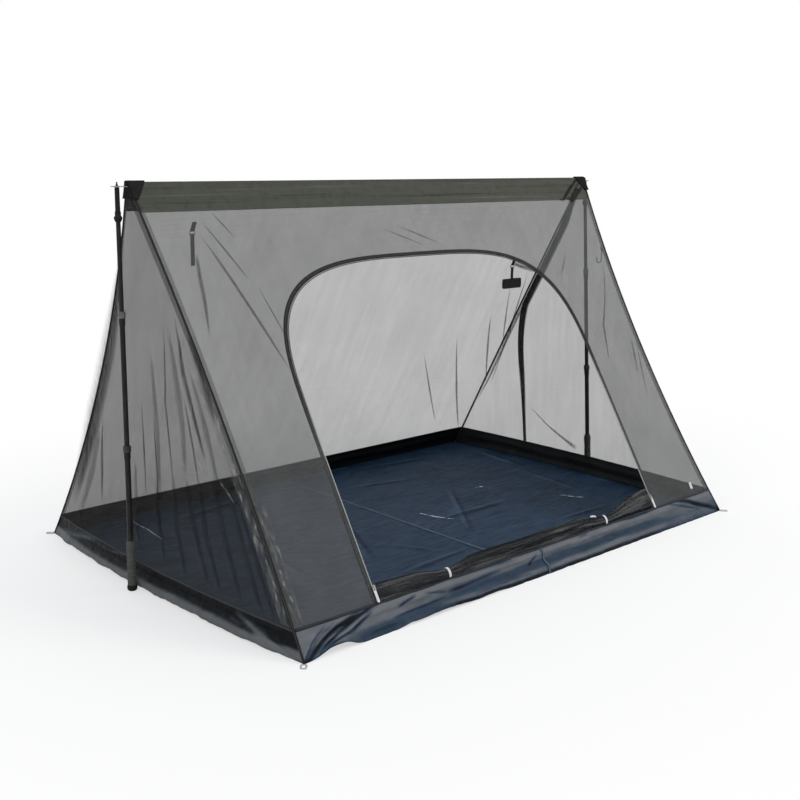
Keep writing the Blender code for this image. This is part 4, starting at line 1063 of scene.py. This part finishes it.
def make_wall(word, wall_row, side, strokes, lean, cloths):
    """One wall, whose rows lie closer together near the ground."""
    table = [wall_row(side, strokes, (i / 30) ** 1.25) for i in range(31)]
    rows, lifts, tones = ([[spot[k] for spot in row] for row in table] for k in range(3))
    work = Patchwork()
    work.flat_grid(rows)
    add_tones(work, lifts, 0.005, 0.0036, lean, tones)
    obj = work.build(f"{word}_wall_cloth", cloths, replaces=(f"wall_{word}",))
    thicken(obj, 0.0006, 0, 1)
    declare_sheet(obj)


def make_bathtub(outer, end_outer, inner, less_shaded_inner):
    """The four walls of coated cloth that stand round the floor."""
    for side, word in SIDES:
        strokes = trace(front_metres, FRONT_STROKES) if side == FRONT else []
        make_wall(word, side_wall_row, side, strokes, (0.18, 0.25), (outer, inner))
    for end, word in ENDS:
        strokes = trace(on_end_metres, LEFT_STROKES) if end == LEFT else []
        # The ends and the inner faces take the darker copies of the cloth: painted shade.
        cloths = (end_outer, inner if end == LEFT else less_shaded_inner)
        make_wall(word, end_wall_row, end, strokes, (0.0, 0.30), cloths)


def make_wall_seams(seam):
    """The floor's seam, carried up the front and back walls."""
    for side, word in SIDES:
        work = Patchwork()
        rows = []
        for h in steps(0.02, 0.97, 26):
            t = wall_height(h)
            row = []
            for x in (-0.0055, -0.0030, 0, 0.0030, 0.0055):
                lift = clamp(side_drape(x, h, side), *SIDE_LIFT) + 0.0020 + 0.0006 * (abs(x) < 0.004)
                rise = Vector((0, 0, edge_rise(x, side) * (1 - h) ** 2))
                row.append(slope_point(side, x / hip_x(t), t, lift) + rise)
            rows.append(row)
        work.strap(rows, 0.094 / 26)
        obj = work.build(f"{word}_wall_seam", seam)
        thicken(obj, 0.0004)
        declare_sheet(obj)


def make_hem(word, rows, cloth):
    work = Patchwork()
    work.flat_grid(rows)
    obj = work.build(f"{word}_wall_hem", cloth)
    thicken(obj, 0.0006)
    declare_sheet(obj)


def make_hems(hem, pale_hem):
    """The hems that join the walls and the net."""
    for side, word in SIDES:
        edge = 1 - CLOTH_INSET / hip_x(T_WALL)
        rows = []
        for dt, lift in ((-0.0042, 0.6), (-0.0025, 1.3), (-0.0005, 1.3), (0.0015, 0.6)):
            rows.append([slope_point(side, u, T_WALL + dt, 0.0016 * lift) for u in steps(-edge, edge, 160)])
        make_hem(word, rows, hem if side == FRONT else pale_hem)
    for end, word in ENDS:
        edge = 1 - 2 * CLOTH_INSET / width_at(end, T_WALL)
        rows = []
        for dt, lift in ((-0.0040, 0.5), (-0.0025, 1.3), (-0.0010, 1.3), (0.0004, 0.5)):
            row = []
            for v in steps(-edge, edge, 160):
                sag = 0.0012 * (1 + rough(v * 6, 2.0, end)) * (1 - v * v)
                row.append(end_point(end, v, T_WALL + dt - sag, 0.0018 * lift))
            rows.append(row)
        make_hem(word, rows, pale_hem)


def band_tone(x, h, bands, seed):
    """The bands of painted light and shade that run along a slack wall, and waver along it."""
    wave = 0.055 * rough(x * 2.6, seed, 0.5) + 0.030 * rough(x * 9.0, seed, 2.5)
    return along_line(bands, min(1, max(0, h + wave * math.sin(math.pi * h))))


def make_ridge_band(cloth, crease):
    """The solid band over the ridge, slightly wavy along it, with dark strips of painted crease shadow at its right
    end.
    """
    work = Patchwork()
    rows = []
    crest = 0.0018 / HEIGHT
    heights = [(FRONT, t) for t in steps(T_BAND, 1 - crest, 22)] + [(BACK, t) for t in steps(1 - crest, T_BAND, 22)]
    for side, t in heights:
        edge = 1 - CLOTH_INSET / hip_x(t)
        away = smooth(0, 0.03, (1 - t) * HEIGHT)
        row = []
        for u in steps(-edge, edge, 220):
            x, s = u * hip_x(t), t * SLANT[side]
            long = rough(x * 1.6, s * 38, 2.0 + side) * 0.0018 + rough(x * 6, s * 60, 6.0) * 0.0008
            row.append(slope_point(side, u, t, long * away))
        rows.append(row)
    work.flat_grid(rows)
    over = lambda u, t, lift: slope_point(FRONT, min(u, 0.985), clamp(t, T_BAND, 0.995), 0.0032 - lift)
    add_folds(work, over, on_slope, FRONT, RIDGE_SHADE_STRIPS, 0.0)
    obj = work.build("ridge_cloth", (cloth, crease), replaces=("ridge_band",))
    thicken(obj, 0.0006)
    declare_sheet(obj)


def make_hip_seams(tape):
    """The bound seams down the four hips."""
    for side, side_word in SIDES:
        for end, end_word in ENDS:
            work = Patchwork()
            path = [slope_point(side, end, t) for t in steps(0.0016, 0.974, 150)]
            x_out = Vector((end, 0, 0))
            across, away = (x_out - OUT[side]).normalized(), (x_out + OUT[side]).normalized()
            rings = []
            for i, p in enumerate(path):
                pinch = 0.0029 * (1 + 0.12 * rough(i * 0.35, side, end))
                rings.append([p + across * (pinch * 1.25 * math.cos(a)) + away * (pinch * math.sin(a))
                              for a in turn_angles(10)])
            work.tube(path, rings)
            name = f"{side_word}_{end_word}"
            obj = work.build(f"hip_seam_{name}", tape, replaces=(f"hip_binding_{name}",))


def make_apex_patches(cloth):
    """Solid cloth that wraps each end of the ridge, with soft wrinkles."""
    face_out = 0.0030 + GAP + 0.0006
    wing_lift = 0.0005 + GAP + 0.0008
    low = 1 - 0.052 / HEIGHT
    for end, word in ENDS:
        work = Patchwork()
        rows = []
        for share in steps(0, 0.985, 14):
            t = mix(low, 1, share)
            x_in = end * (RIDGE / 2 - 0.060 * (0.35 + 0.65 * share))
            x_out = end * (hip_x(t) + face_out)
            corner = {}
            for side in (FRONT, BACK):
                rise = wing_lift * SLANT[side] / HEIGHT
                inner = slope_point(side, x_in / hip_x(t), t).y + side * rise
                outer = mix(side * WIDTH / 2, SHIFT, t) + side * (rise + face_out)
                corner[side] = (Vector((x_in, inner, t * HEIGHT)), Vector((x_out, outer, t * HEIGHT)))
            row = [mix(corner[FRONT][0], corner[FRONT][1], k / 8) for k in range(8)]
            row += [mix(corner[FRONT][1], corner[BACK][1], k / 8) for k in range(8)]
            row += [mix(corner[BACK][1], corner[BACK][0], k / 8) for k in range(9)]
            for k, p in enumerate(row):
                soft = abs(noise.noise(p * 60)) * 0.0010
                row[k] = p + Vector((end * soft, math.copysign(soft, p.y - SHIFT), 0))
            rows.append(row[::end])
        work.flat_grid(rows)
        ridge = HEIGHT + wing_lift * SLANT[-1] / RUN[-1] * 0.8
        work.flat_grid([rows[-1], [Vector((p.x, mix(SHIFT, p.y, 0.12), ridge)) for p in rows[-1]]])
        obj = work.build(f"apex_cloth_{word}", cloth, replaces=(f"apex_patch_{word}",))
        thicken(obj, 0.0009)
        declare_sheet(obj)


# Door

def make_zip(tape, coil):
    """The zip's tape and coil round the door's opening."""
    work = Patchwork()
    lift = 0.0004 + GAP + 0.0003
    rows = []
    for grow in (0.0026, 0.0060, 0.0100, 0.0135, 0.0168):
        line = door_edge(grow, 0.004, 150, 70)
        rows.append([front_at(x, s, lift + 0.0004 * rough(x * 30, s * 30, grow * 90)) for x, s in line])
    run, uvs = 0.0, []
    for i, p in enumerate(rows[2]):
        run += (p - rows[2][i - 1]).length if i else 0
        uvs.append(run)
    work.grid(rows, [[(u, k / 4) for u in uvs] for k in range(5)])
    obj = work.build("zip_tape_cloth", tape, replaces=("zip_tape",))
    thicken(obj, 0.0005)
    declare_sheet(obj)
    work = Patchwork()
    line = [front_at(x, s, lift) for x, s in door_edge(0, 0.004, 240, 110)]
    fine = [line[0]]
    pitch = 0.0015
    for a, b in zip(line, line[1:]):
        cuts = max(1, round((b - a).length / pitch))
        fine += [mix(a, b, (k + 1) / cuts) for k in range(cuts)]
    round_cord(work, fine, 0.0019, 6, widths=[1.0 if i % 2 else 0.72 for i in range(len(fine))])
    work.build("zip_coil_teeth", coil, replaces=("zip_coil",))


def roll_shape(x):
    """The loose roll's half height up the slope and half depth at a place along the sill."""
    near = tie_distance(x)
    high = mix(0.017, 0.026, smooth(0.010, 0.140, near))
    fan = smooth(0.45, 0.69, x - DOOR_X) * 0.017 + smooth(0.45, 0.69, DOOR_X - x) * 0.004
    deep = mix(0.0118, 0.0125, smooth(0.01, 0.1, near)) * (1 - 0.35 * smooth(0.5, 0.69, abs(x - DOOR_X)))
    return high + fan, deep


def tie_distance(x):
    """How far a place along the sill is from the nearer tie."""
    return min(abs(x - DOOR_X - end * TIE_AT) for end in (LEFT, RIGHT))


def roll_place(x, angle, out, size=1.0):
    """A place on the roll's skin, or a share of the way out to it."""
    high, deep = roll_shape(x)
    centre = SILL + high - 0.0003
    return front_at(x, centre + (high * size + out) * math.sin(angle), (deep * size + out) * math.cos(angle))


def make_roll(bundle):
    """The door panel, loosely rolled and tied along the sill, wider where it sags between the ties."""
    work = Patchwork()
    rows, uvs = [], []
    turns, around = 12, 26
    for x in steps(DOOR_X - DOOR_HALF + 0.008, DOOR_X + DOOR_HALF - 0.008, 150):
        loose = smooth(0.008, 0.09, tie_distance(x))
        row = []
        for k in range(turns * around + 1):
            angle = math.tau * k / around
            share = k / (turns * around)
            c, s = math.cos(angle), math.sin(angle)
            lump = 0.13 * rough(x * 6, c * 1.8, s * 1.8 + share) + 0.055 * math.sin(4 * angle + x * 9 + share * 5)
            lump += 0.07 * rough(x * 4, c * 5, s * 5)
            row.append(roll_place(x, angle, 0.0, mix(0.20, 0.96, share) * (1 + lump * (0.3 + 0.7 * loose))))
        rows.append(row)
        uvs.append([(x, k / around * 0.02) for k in range(len(row))])
    work.grid(rows, uvs)
    obj = work.build("rolled_door_net", bundle, replaces=("door_roll",))
    obj.data.update()


def make_ties(cord, link):
    """Flat white straps round the roll's waists. The right one's loose end lies on the roll."""
    for end, word in ENDS:
        x = DOOR_X + end * TIE_AT
        work = Patchwork()
        rows = []
        for i in range(41):
            middle = roll_place(x, math.radians(-56 + 292 * i / 40), 0.0011)
            rows.append([middle + Vector((0.005 * k, 0, 0)) + OUT[-1] * (0.0003 * (1 - k * k)) for k in TAPE])
        work.strap(rows, 0.0025)
        if end == RIGHT:
            rows = []
            for share in steps(0, 1, 12):
                lift = 0.0030 + 0.0015 * math.sin(math.pi * share)
                middle = roll_place(x - 0.004 - (0.036 + 0.026 * share), math.radians(66 + 10 * share), lift)
                half = 0.0034 * math.sin(math.pi * (0.12 + 0.76 * share)) ** 0.4
                rows.append([middle + UP[-1] * (half * k) for k in TAPE])
            work.strap(rows, 0.0022)
            rows = []
            for share in steps(0, 1, 16):
                lift = 0.0016 + 0.0012 * math.sin(math.pi * share)
                middle = roll_place(x - 0.002 - 0.040 * share, math.radians(60 + 8 * share), lift)
                rows.append([middle + UP[-1] * (0.0009 * k) for k in (-1, 0, 1)])
            work.strap(rows, 0.0025, slot=1)
        obj = work.build(f"door_tie_strap_{word}", (cord, link), replaces=(f"door_tie_{word}",))
        thicken(obj, 0.0009)


# Webbing

def make_ridge_tabs(web):
    """The webbing tab at each end of the ridge, with a hole for its eyelet."""
    hole, half_width = 0.0066, 0.013
    for end, word in ENDS:
        work = Patchwork()
        pole_x = POLE_X[end]
        root, tip = hip_x(0.988) + 0.0058, pole_x + 0.015
        loops = []
        for share in steps(0, 1, 5):
            loop = []
            for angle in turn_angles(48):
                dx, dy = math.cos(angle), math.sin(angle)
                along = (tip - pole_x if dx > 0 else pole_x - root) / max(abs(dx), 1e-6)
                r = mix(hole, min(half_width / max(abs(dy), 1e-6), along), share)
                loop.append(Vector((end * (pole_x + dx * r), SHIFT + dy * r, HEIGHT - 0.015)))
            loops.append(loop[::end])
        uvs = [[(p.x, (p.y - SHIFT) / (2 * half_width) + 0.5) for p in loop] for loop in loops]
        work.grid(loops, uvs, around=True)
        obj = work.build(f"ridge_webbing_{word}", web, replaces=(f"ridge_tab_{word}",))
        thicken(obj, 0.0020)
        declare_sheet(obj)


def squared(value, power):
    """A sine or cosine pushed outward, which makes a round outline squarer."""
    return math.copysign(abs(value) ** power, value)


def make_corner_loops(web):
    """A narrow webbing loop at each ground corner, folded flat with its ends sewn under the floor's edge."""
    for end, end_word in ENDS:
        for side, side_word in SIDES:
            away = Vector((end, side, 0)).normalized()
            across = Vector((-away.y, away.x, 0))
            centre = Vector((end * LENGTH / 2, side * WIDTH / 2, 0.0009)) + away * 0.0153
            work = Patchwork()
            rows = []
            for angle in turn_angles(48, 1):
                c, s = squared(math.cos(angle), 0.6), squared(math.sin(angle), 0.6)
                outer, inner = (centre + away * (half * c) + across * (wide * s)
                                for half, wide in ((0.015, 0.010), (0.010, 0.005)))
                rows.append([mix(outer, inner, k) for k in (0, 0.33, 0.67, 1)])
            work.strap(rows, 0.0015)
            name = f"{side_word}_{end_word}"
            obj = work.build(f"corner_webbing_{name}", web, replaces=(f"corner_loop_{name}",))
            thicken(obj, 0.0014)


def ring_points(centre, half_width, half_height):
    """A closed ring with squarish corners, upright and along x."""
    points = []
    for angle in turn_angles(40, 1):
        a, b = squared(math.cos(angle), 0.35), squared(math.sin(angle), 0.35)
        points.append(centre + Vector((half_width * a, 0, half_height * b)))
    return points


def strap_down(work, pivot, length):
    """A strap that hangs doubled over a bar at the pivot."""
    rows = []
    for z in steps(-length, -0.003, 24):
        rows.append((0.0009 + 0.0004 * math.sin(z * 160), z))
    for i in range(13):
        angle = math.radians(180 * i / 12)
        rows.append((0.0025 * math.cos(angle), 0.0025 * math.sin(angle)))
    for z in steps(-0.003, -length, 24):
        rows.append((-0.0009 + 0.0004 * math.sin(z * 160), z))
    work.strap([[pivot + Vector((k * 0.007, y, z)) for k in TAPE] for y, z in rows], 0.004)


def soft_pad(work, pivot, top):
    """The flat pad at the right strap's foot."""
    section = []
    for angle in turn_angles(24):
        section.append((0.0575 * squared(math.cos(angle), 0.22), 0.007 * squared(math.sin(angle), 0.5)))
    rings, path = [], []
    for share in steps(0, 1, 14):
        z = top - 0.040 * share
        puff = 0.93 + 0.07 * math.sin(math.pi * share) ** 0.4
        rings.append([pivot + Vector((px * puff, py * puff, z)) for px, py in section])
        path.append(pivot + Vector((0, 0, z)))
    work.tube(path, rings)


def make_hangers(web, pale):
    """The sewn tabs inside the back panel, their rings, and the straps in them."""
    ring, wire = 0.0055, 0.0011  # half the ring's height, and its wire's radius
    for word, x, drop, length in (("left", -0.81, 0.161, 0.100), ("right", 0.88, 0.376, 0.048)):
        low, high = 1 - drop / HEIGHT, 1 - (drop - 0.030) / HEIGHT
        work = Patchwork()
        rows = [[slope_point(BACK, (x + k * 0.008) / hip_x(t), t, -0.0019) for k in TAPE] for t in steps(low, high, 12)]
        work.strap(rows, 0.0027)
        obj = work.build(f"hang_webbing_{word}", web, replaces=(f"hang_tab_{word}",))
        thicken(obj, 0.0022)
        declare_sheet(obj)
        centre = slope_point(BACK, x / hip_x(low), low, -0.0019) - Vector((0, 0, wire / 3 + ring))
        work = Patchwork()
        round_cord(work, ring_points(centre, 0.007 + 0.0033, ring), wire)
        work.build(f"hang_ring_{word}", web)
        pivot = centre - Vector((0, 0, ring))
        work = Patchwork()
        strap_down(work, pivot, length)
        if word == "right":
            soft_pad(work, pivot, -length + 0.001)
        cloth = pale if word == "right" else web
        name = f"hang_strap_webbing_{word}"
        obj = work.build(name, cloth, body=f"{word}_hanger", replaces=(f"hang_strap_{word}",))
        thicken(obj, 0.0010)


# Light, floor and backdrop

def make_stage():
    make_world()
    n = Nodes("stage_floor")
    n.set(Base_Color=(0.90, 0.90, 0.90, 1), Roughness=0.95, Specular_IOR_Level=0.0)
    glow = n.add("ShaderNodeEmission", Strength=1.0)
    spot = n.add("ShaderNodeVectorMath", operation="LENGTH")
    n.link(n.coords((1 / 3.0, 1 / 2.4, 1)), spot.inputs[0])
    away = n.ramp(spot.outputs["Value"], 0.3, 1.0, 0.55, 1.0)
    share = n.product(away, n.add("ShaderNodeLightPath").outputs["Is Camera Ray"])
    blend_shaders(n.tree, share, n.shader.outputs[0], glow.outputs[0], n.tree.nodes["Material Output"])
    data = bpy.data.meshes.new("floor")
    size, below = 60, -0.0005
    corners = [(x * size, y * size, below) for x, y in ((-1, -1), (1, -1), (1, 1), (-1, 1))]
    data.from_pydata(corners, [], [(0, 1, 2, 3)])
    data.materials.append(n.material)
    floor = bpy.data.objects.new("stage_floor", data)
    link_in(floor)
    for name, place, power, size, colour in (
        ("key", (2.6, -3.4, 4.6), 150, 2.6, (1.0, 0.98, 0.95)),
        ("fill", (-4.5, -1.0, 3.0), 45, 3.0, (0.95, 0.97, 1.0)),
        ("back", (1.0, 4.5, 4.0), 60, 3.0, (1.0, 1.0, 1.0)),
    ):
        light = bpy.data.lights.new(name, "AREA")
        light.energy = power
        light.size = size
        light.color = colour
        lamp = bpy.data.objects.new(name, light)
        lamp.location = place
        lamp.rotation_euler = (Vector((0, 0, 0.4)) - Vector(place)).to_track_quat("-Z", "Y").to_euler()
        link_in(lamp)
    bpy.context.scene.view_settings.view_transform = "Standard"


def blend_shaders(tree, share, first, second, target):
    """Links a mix of two shaders to an output."""
    node = tree.nodes.new("ShaderNodeMixShader")
    for source, slot in zip((share, first, second), node.inputs):
        tree.links.new(source, slot)
    tree.links.new(node.outputs[0], target.inputs["Surface"])


def make_world():
    """Soft pale light on the tent, and pure white wherever the surroundings themselves are seen."""
    world = bpy.data.worlds.new("studio")
    bpy.context.scene.world = world
    world.use_nodes = True
    tree = world.node_tree
    shade = tree.nodes["Background"]
    seen = tree.nodes.new("ShaderNodeBackground")
    for node, colour, strength in ((shade, (0.93, 0.96, 1.0, 1), 0.62), (seen, (1, 1, 1, 1), 1.0)):
        node.inputs["Color"].default_value = colour
        node.inputs["Strength"].default_value = strength
    path = tree.nodes.new("ShaderNodeLightPath")
    looked = path.outputs["Is Camera Ray"]
    for kind in ("Is Glossy Ray", "Is Transmission Ray"):
        either = tree.nodes.new("ShaderNodeMath")
        either.operation = "MAXIMUM"
        tree.links.new(looked, either.inputs[0])
        tree.links.new(path.outputs[kind], either.inputs[1])
        looked = either.outputs[0]
    blend_shaders(tree, looked, shade.outputs[0], seen.outputs[0], tree.nodes["World Output"])


# Assembly

def paint(material, *endings):
    """Gives a material to the CAD pieces whose names end in these words."""
    for name, obj in nodes.items():
        if name.endswith(endings):
            obj.data.materials.clear()
            obj.data.materials.append(material)


def main():
    make_camera()
    make_stage()
    # One net in three copies: the front's paler threads are painted light, and the back's and the ends' darker threads
    # are painted shade.
    net = net_material("net_lit_front_weave", 0.52, (0.075, 0.077, 0.078), (0.130, 0.132, 0.130))
    end_net = net_material("net_end_shaded_weave", 0.52, (0.016, 0.016, 0.015), (0.038, 0.037, 0.034))
    back_net = net_material("net_back_shaded_weave", 0.50, (0.036, 0.035, 0.033), (0.070, 0.068, 0.062))
    folded = fold_material("net_fold", 0.84, (0.008, 0.009, 0.010), (0.024, 0.024, 0.023))
    bundle = bundle_material("net_bundle", 0.86, grey(0.006), (0.028, 0.027, 0.025))
    crinkled = crinkle_material("net_crinkle", 0.74, (0.062, 0.064, 0.061), (0.31, 0.31, 0.29), 0.36, 0.70)
    shade = fold_material("net_shade", 0.50, (0.006, 0.007, 0.009), (0.014, 0.015, 0.017), 1.0)
    crease_glint = crinkle_material("net_crease_glint", 0.8, (0.10, 0.10, 0.09), (0.34, 0.34, 0.32), 0.30, 0.55)
    scratched = crinkle_material("floor_scratch_mark", 0.9, (0.22, 0.25, 0.28), (0.62, 0.66, 0.70), 0.26, 0.50)
    roll = bundle_material("net_roll", 0.68, (0.003, 0.004, 0.006), (0.086, 0.091, 0.094), 0.46, 0.62)
    # The deep, pale and middle colours of the painted light and shade on the floor's and walls' folds.
    floor_light_and_shade = ((0.006, 0.015, 0.034), (0.040, 0.072, 0.120), 0.5)
    floor_cloth = coated_material(
        "floor_weave", (0.015, 0.034, 0.066), (0.022, 0.046, 0.086), 0.42, 0.08, 0.45, floor_light_and_shade, True)
    wall_light_and_shade = ((0.0012, 0.0016, 0.0024), (0.150, 0.157, 0.168), 0.22)
    outer_wall = coated_material(
        "wall_outer_weave", (0.016, 0.034, 0.062), (0.022, 0.042, 0.072), 0.40, 0.12, 0.5, wall_light_and_shade)
    # Darker copies of the same wall cloth: the end walls' colour is painted shade, and so is the inner faces' colour,
    # lighter on the right end.
    end_light_and_shade = ((0.0012, 0.0016, 0.0020), (0.135, 0.143, 0.148), 0.22)
    end_wall = coated_material(
        "end_wall_shaded_weave", (0.012, 0.017, 0.022), (0.017, 0.023, 0.029), 0.42, 0.10, 0.5, end_light_and_shade)
    shaded_inner_wall = coated_material("wall_inner_shaded_weave", (0.004, 0.005, 0.007), (0.008, 0.009, 0.011), 0.65, 0.06)
    less_shaded_inner = coated_material("right_inner_less_shaded_weave", (0.019, 0.020, 0.020), (0.029, 0.030, 0.030), 0.6, 0.06)
    streaks = ((0.115, 0.118, 0.098), (0.040, 0.042, 0.034))
    band = woven_material(
        "ridge_weave", (0.058, 0.061, 0.049), (0.086, 0.090, 0.073), rough=0.7, blended=0.88, streaks=streaks)
    tape = woven_material(
        "seam_tape_weave", grey(0.008), (0.030, 0.028, 0.024), (0.10, 0.095, 0.085), (0.2, 0.7))
    zip_tape = woven_material(
        "zip_tape_weave", grey(0.010), grey(0.030), (0.09, 0.085, 0.08), (0.55,), blended=0.80,
        legs=(0.060, 0.062, 0.060))
    seam = woven_material(
        "floor_seam_weave", (0.016, 0.034, 0.066), (0.030, 0.056, 0.095), (0.24, 0.33, 0.42), (0.42, 0.58), rough=0.45)
    hem = coated_material("wall_hem_weave", (0.006, 0.008, 0.011), (0.014, 0.018, 0.024), 0.5, 0.2)
    black_cloth = coated_material("apex_weave", grey(0.005), grey(0.012), 0.7, 0.06)
    coil = plain_material(
        "zip_nylon", (0.012, 0.012, 0.011), (0.075, 0.07, 0.06), 0.35, 0.0, 300, 0.2, 0.3, (0.42, 0.42, 0.40))
    web = woven_material("webbing_weave", grey(0.008), (0.035, 0.034, 0.032))
    pale_web = woven_material("pale_webbing_weave", (0.22, 0.24, 0.16), (0.52, 0.55, 0.42))
    grey_web = woven_material("grey_webbing_weave", (0.38, 0.38, 0.37), (0.58, 0.58, 0.56))
    pale_hem = woven_material("pale_hem_weave", (0.035, 0.035, 0.033), (0.115, 0.112, 0.104))
    white = woven_material(
        "white_weave", (0.55, 0.55, 0.53), (0.90, 0.90, 0.88), (0.95, 0.95, 0.93), (0.5,), 0.002)
    strap = woven_material("strap_weave", (0.022, 0.023, 0.023), (0.060, 0.061, 0.058))
    white_moulding = plain_material("white_moulding", (0.62, 0.62, 0.60), (0.86, 0.86, 0.84), 0.5, 0.0, 300, 0.2)
    paint(web, "hip_hook_loop")
    paint(white_moulding, "zip_pull_left", "zip_pull_right")
    paint(plain_material("zinc", grey(0.20), grey(0.42), 0.38, 0.8),
          "ridge_eyelet_left", "ridge_eyelet_right", "zip_slider_left", "zip_slider_right")
    paint(plain_material("anodised_black", (0.008, 0.0075, 0.007), (0.020, 0.019, 0.017), 0.40, 0.0, 300, 0.05, 0.2),
          "_shaft")
    paint(plain_material("lock_plastic", grey(0.020), grey(0.050), 0.45), "upper_lock_nut")
    paint(plain_material("lock_silver", grey(0.10), grey(0.28), 0.4, 0.2), "middle_lock_nut")
    paint(plain_material("grip_foam", (0.070, 0.072, 0.064), (0.120, 0.122, 0.108), 0.9, 0.0, 500, 0.5, 0.1), "_grip")
    paint(plain_material("black_rubber", grey(0.008), grey(0.022), 0.7, 0.0, 300, 0.3, 0.15),
          "head_cap", "basket_collar", "tip_ferrule")
    paint(plain_material("hook_plastic", grey(0.03), grey(0.08), 0.4), "hip_hook")
    make_floor(floor_cloth)
    make_floor_seam(seam)
    make_bathtub(outer_wall, end_wall, shaded_inner_wall, less_shaded_inner)
    make_wall_seams(seam)
    make_hems(hem, pale_hem)
    make_front_net(net, folded, crinkled)
    make_back_net(back_net, folded)
    make_end_net(LEFT, "left", end_net, folded, crinkled, crease_glint, shade, LEFT_FOLDS)
    make_end_net(RIGHT, "right", end_net, folded, crinkled, crease_glint, shade, RIGHT_FOLDS)
    make_gather(bundle)
    make_ridge_band(band, folded)
    make_hip_seams(tape)
    make_apex_patches(black_cloth)
    make_zip(zip_tape, coil)
    make_roll(roll)
    make_ties(white, web)
    make_tag(white)
    make_floor_marks(scratched)
    make_ridge_tabs(pale_web)
    make_corner_loops(grey_web)
    make_hangers(web, strap)


main()
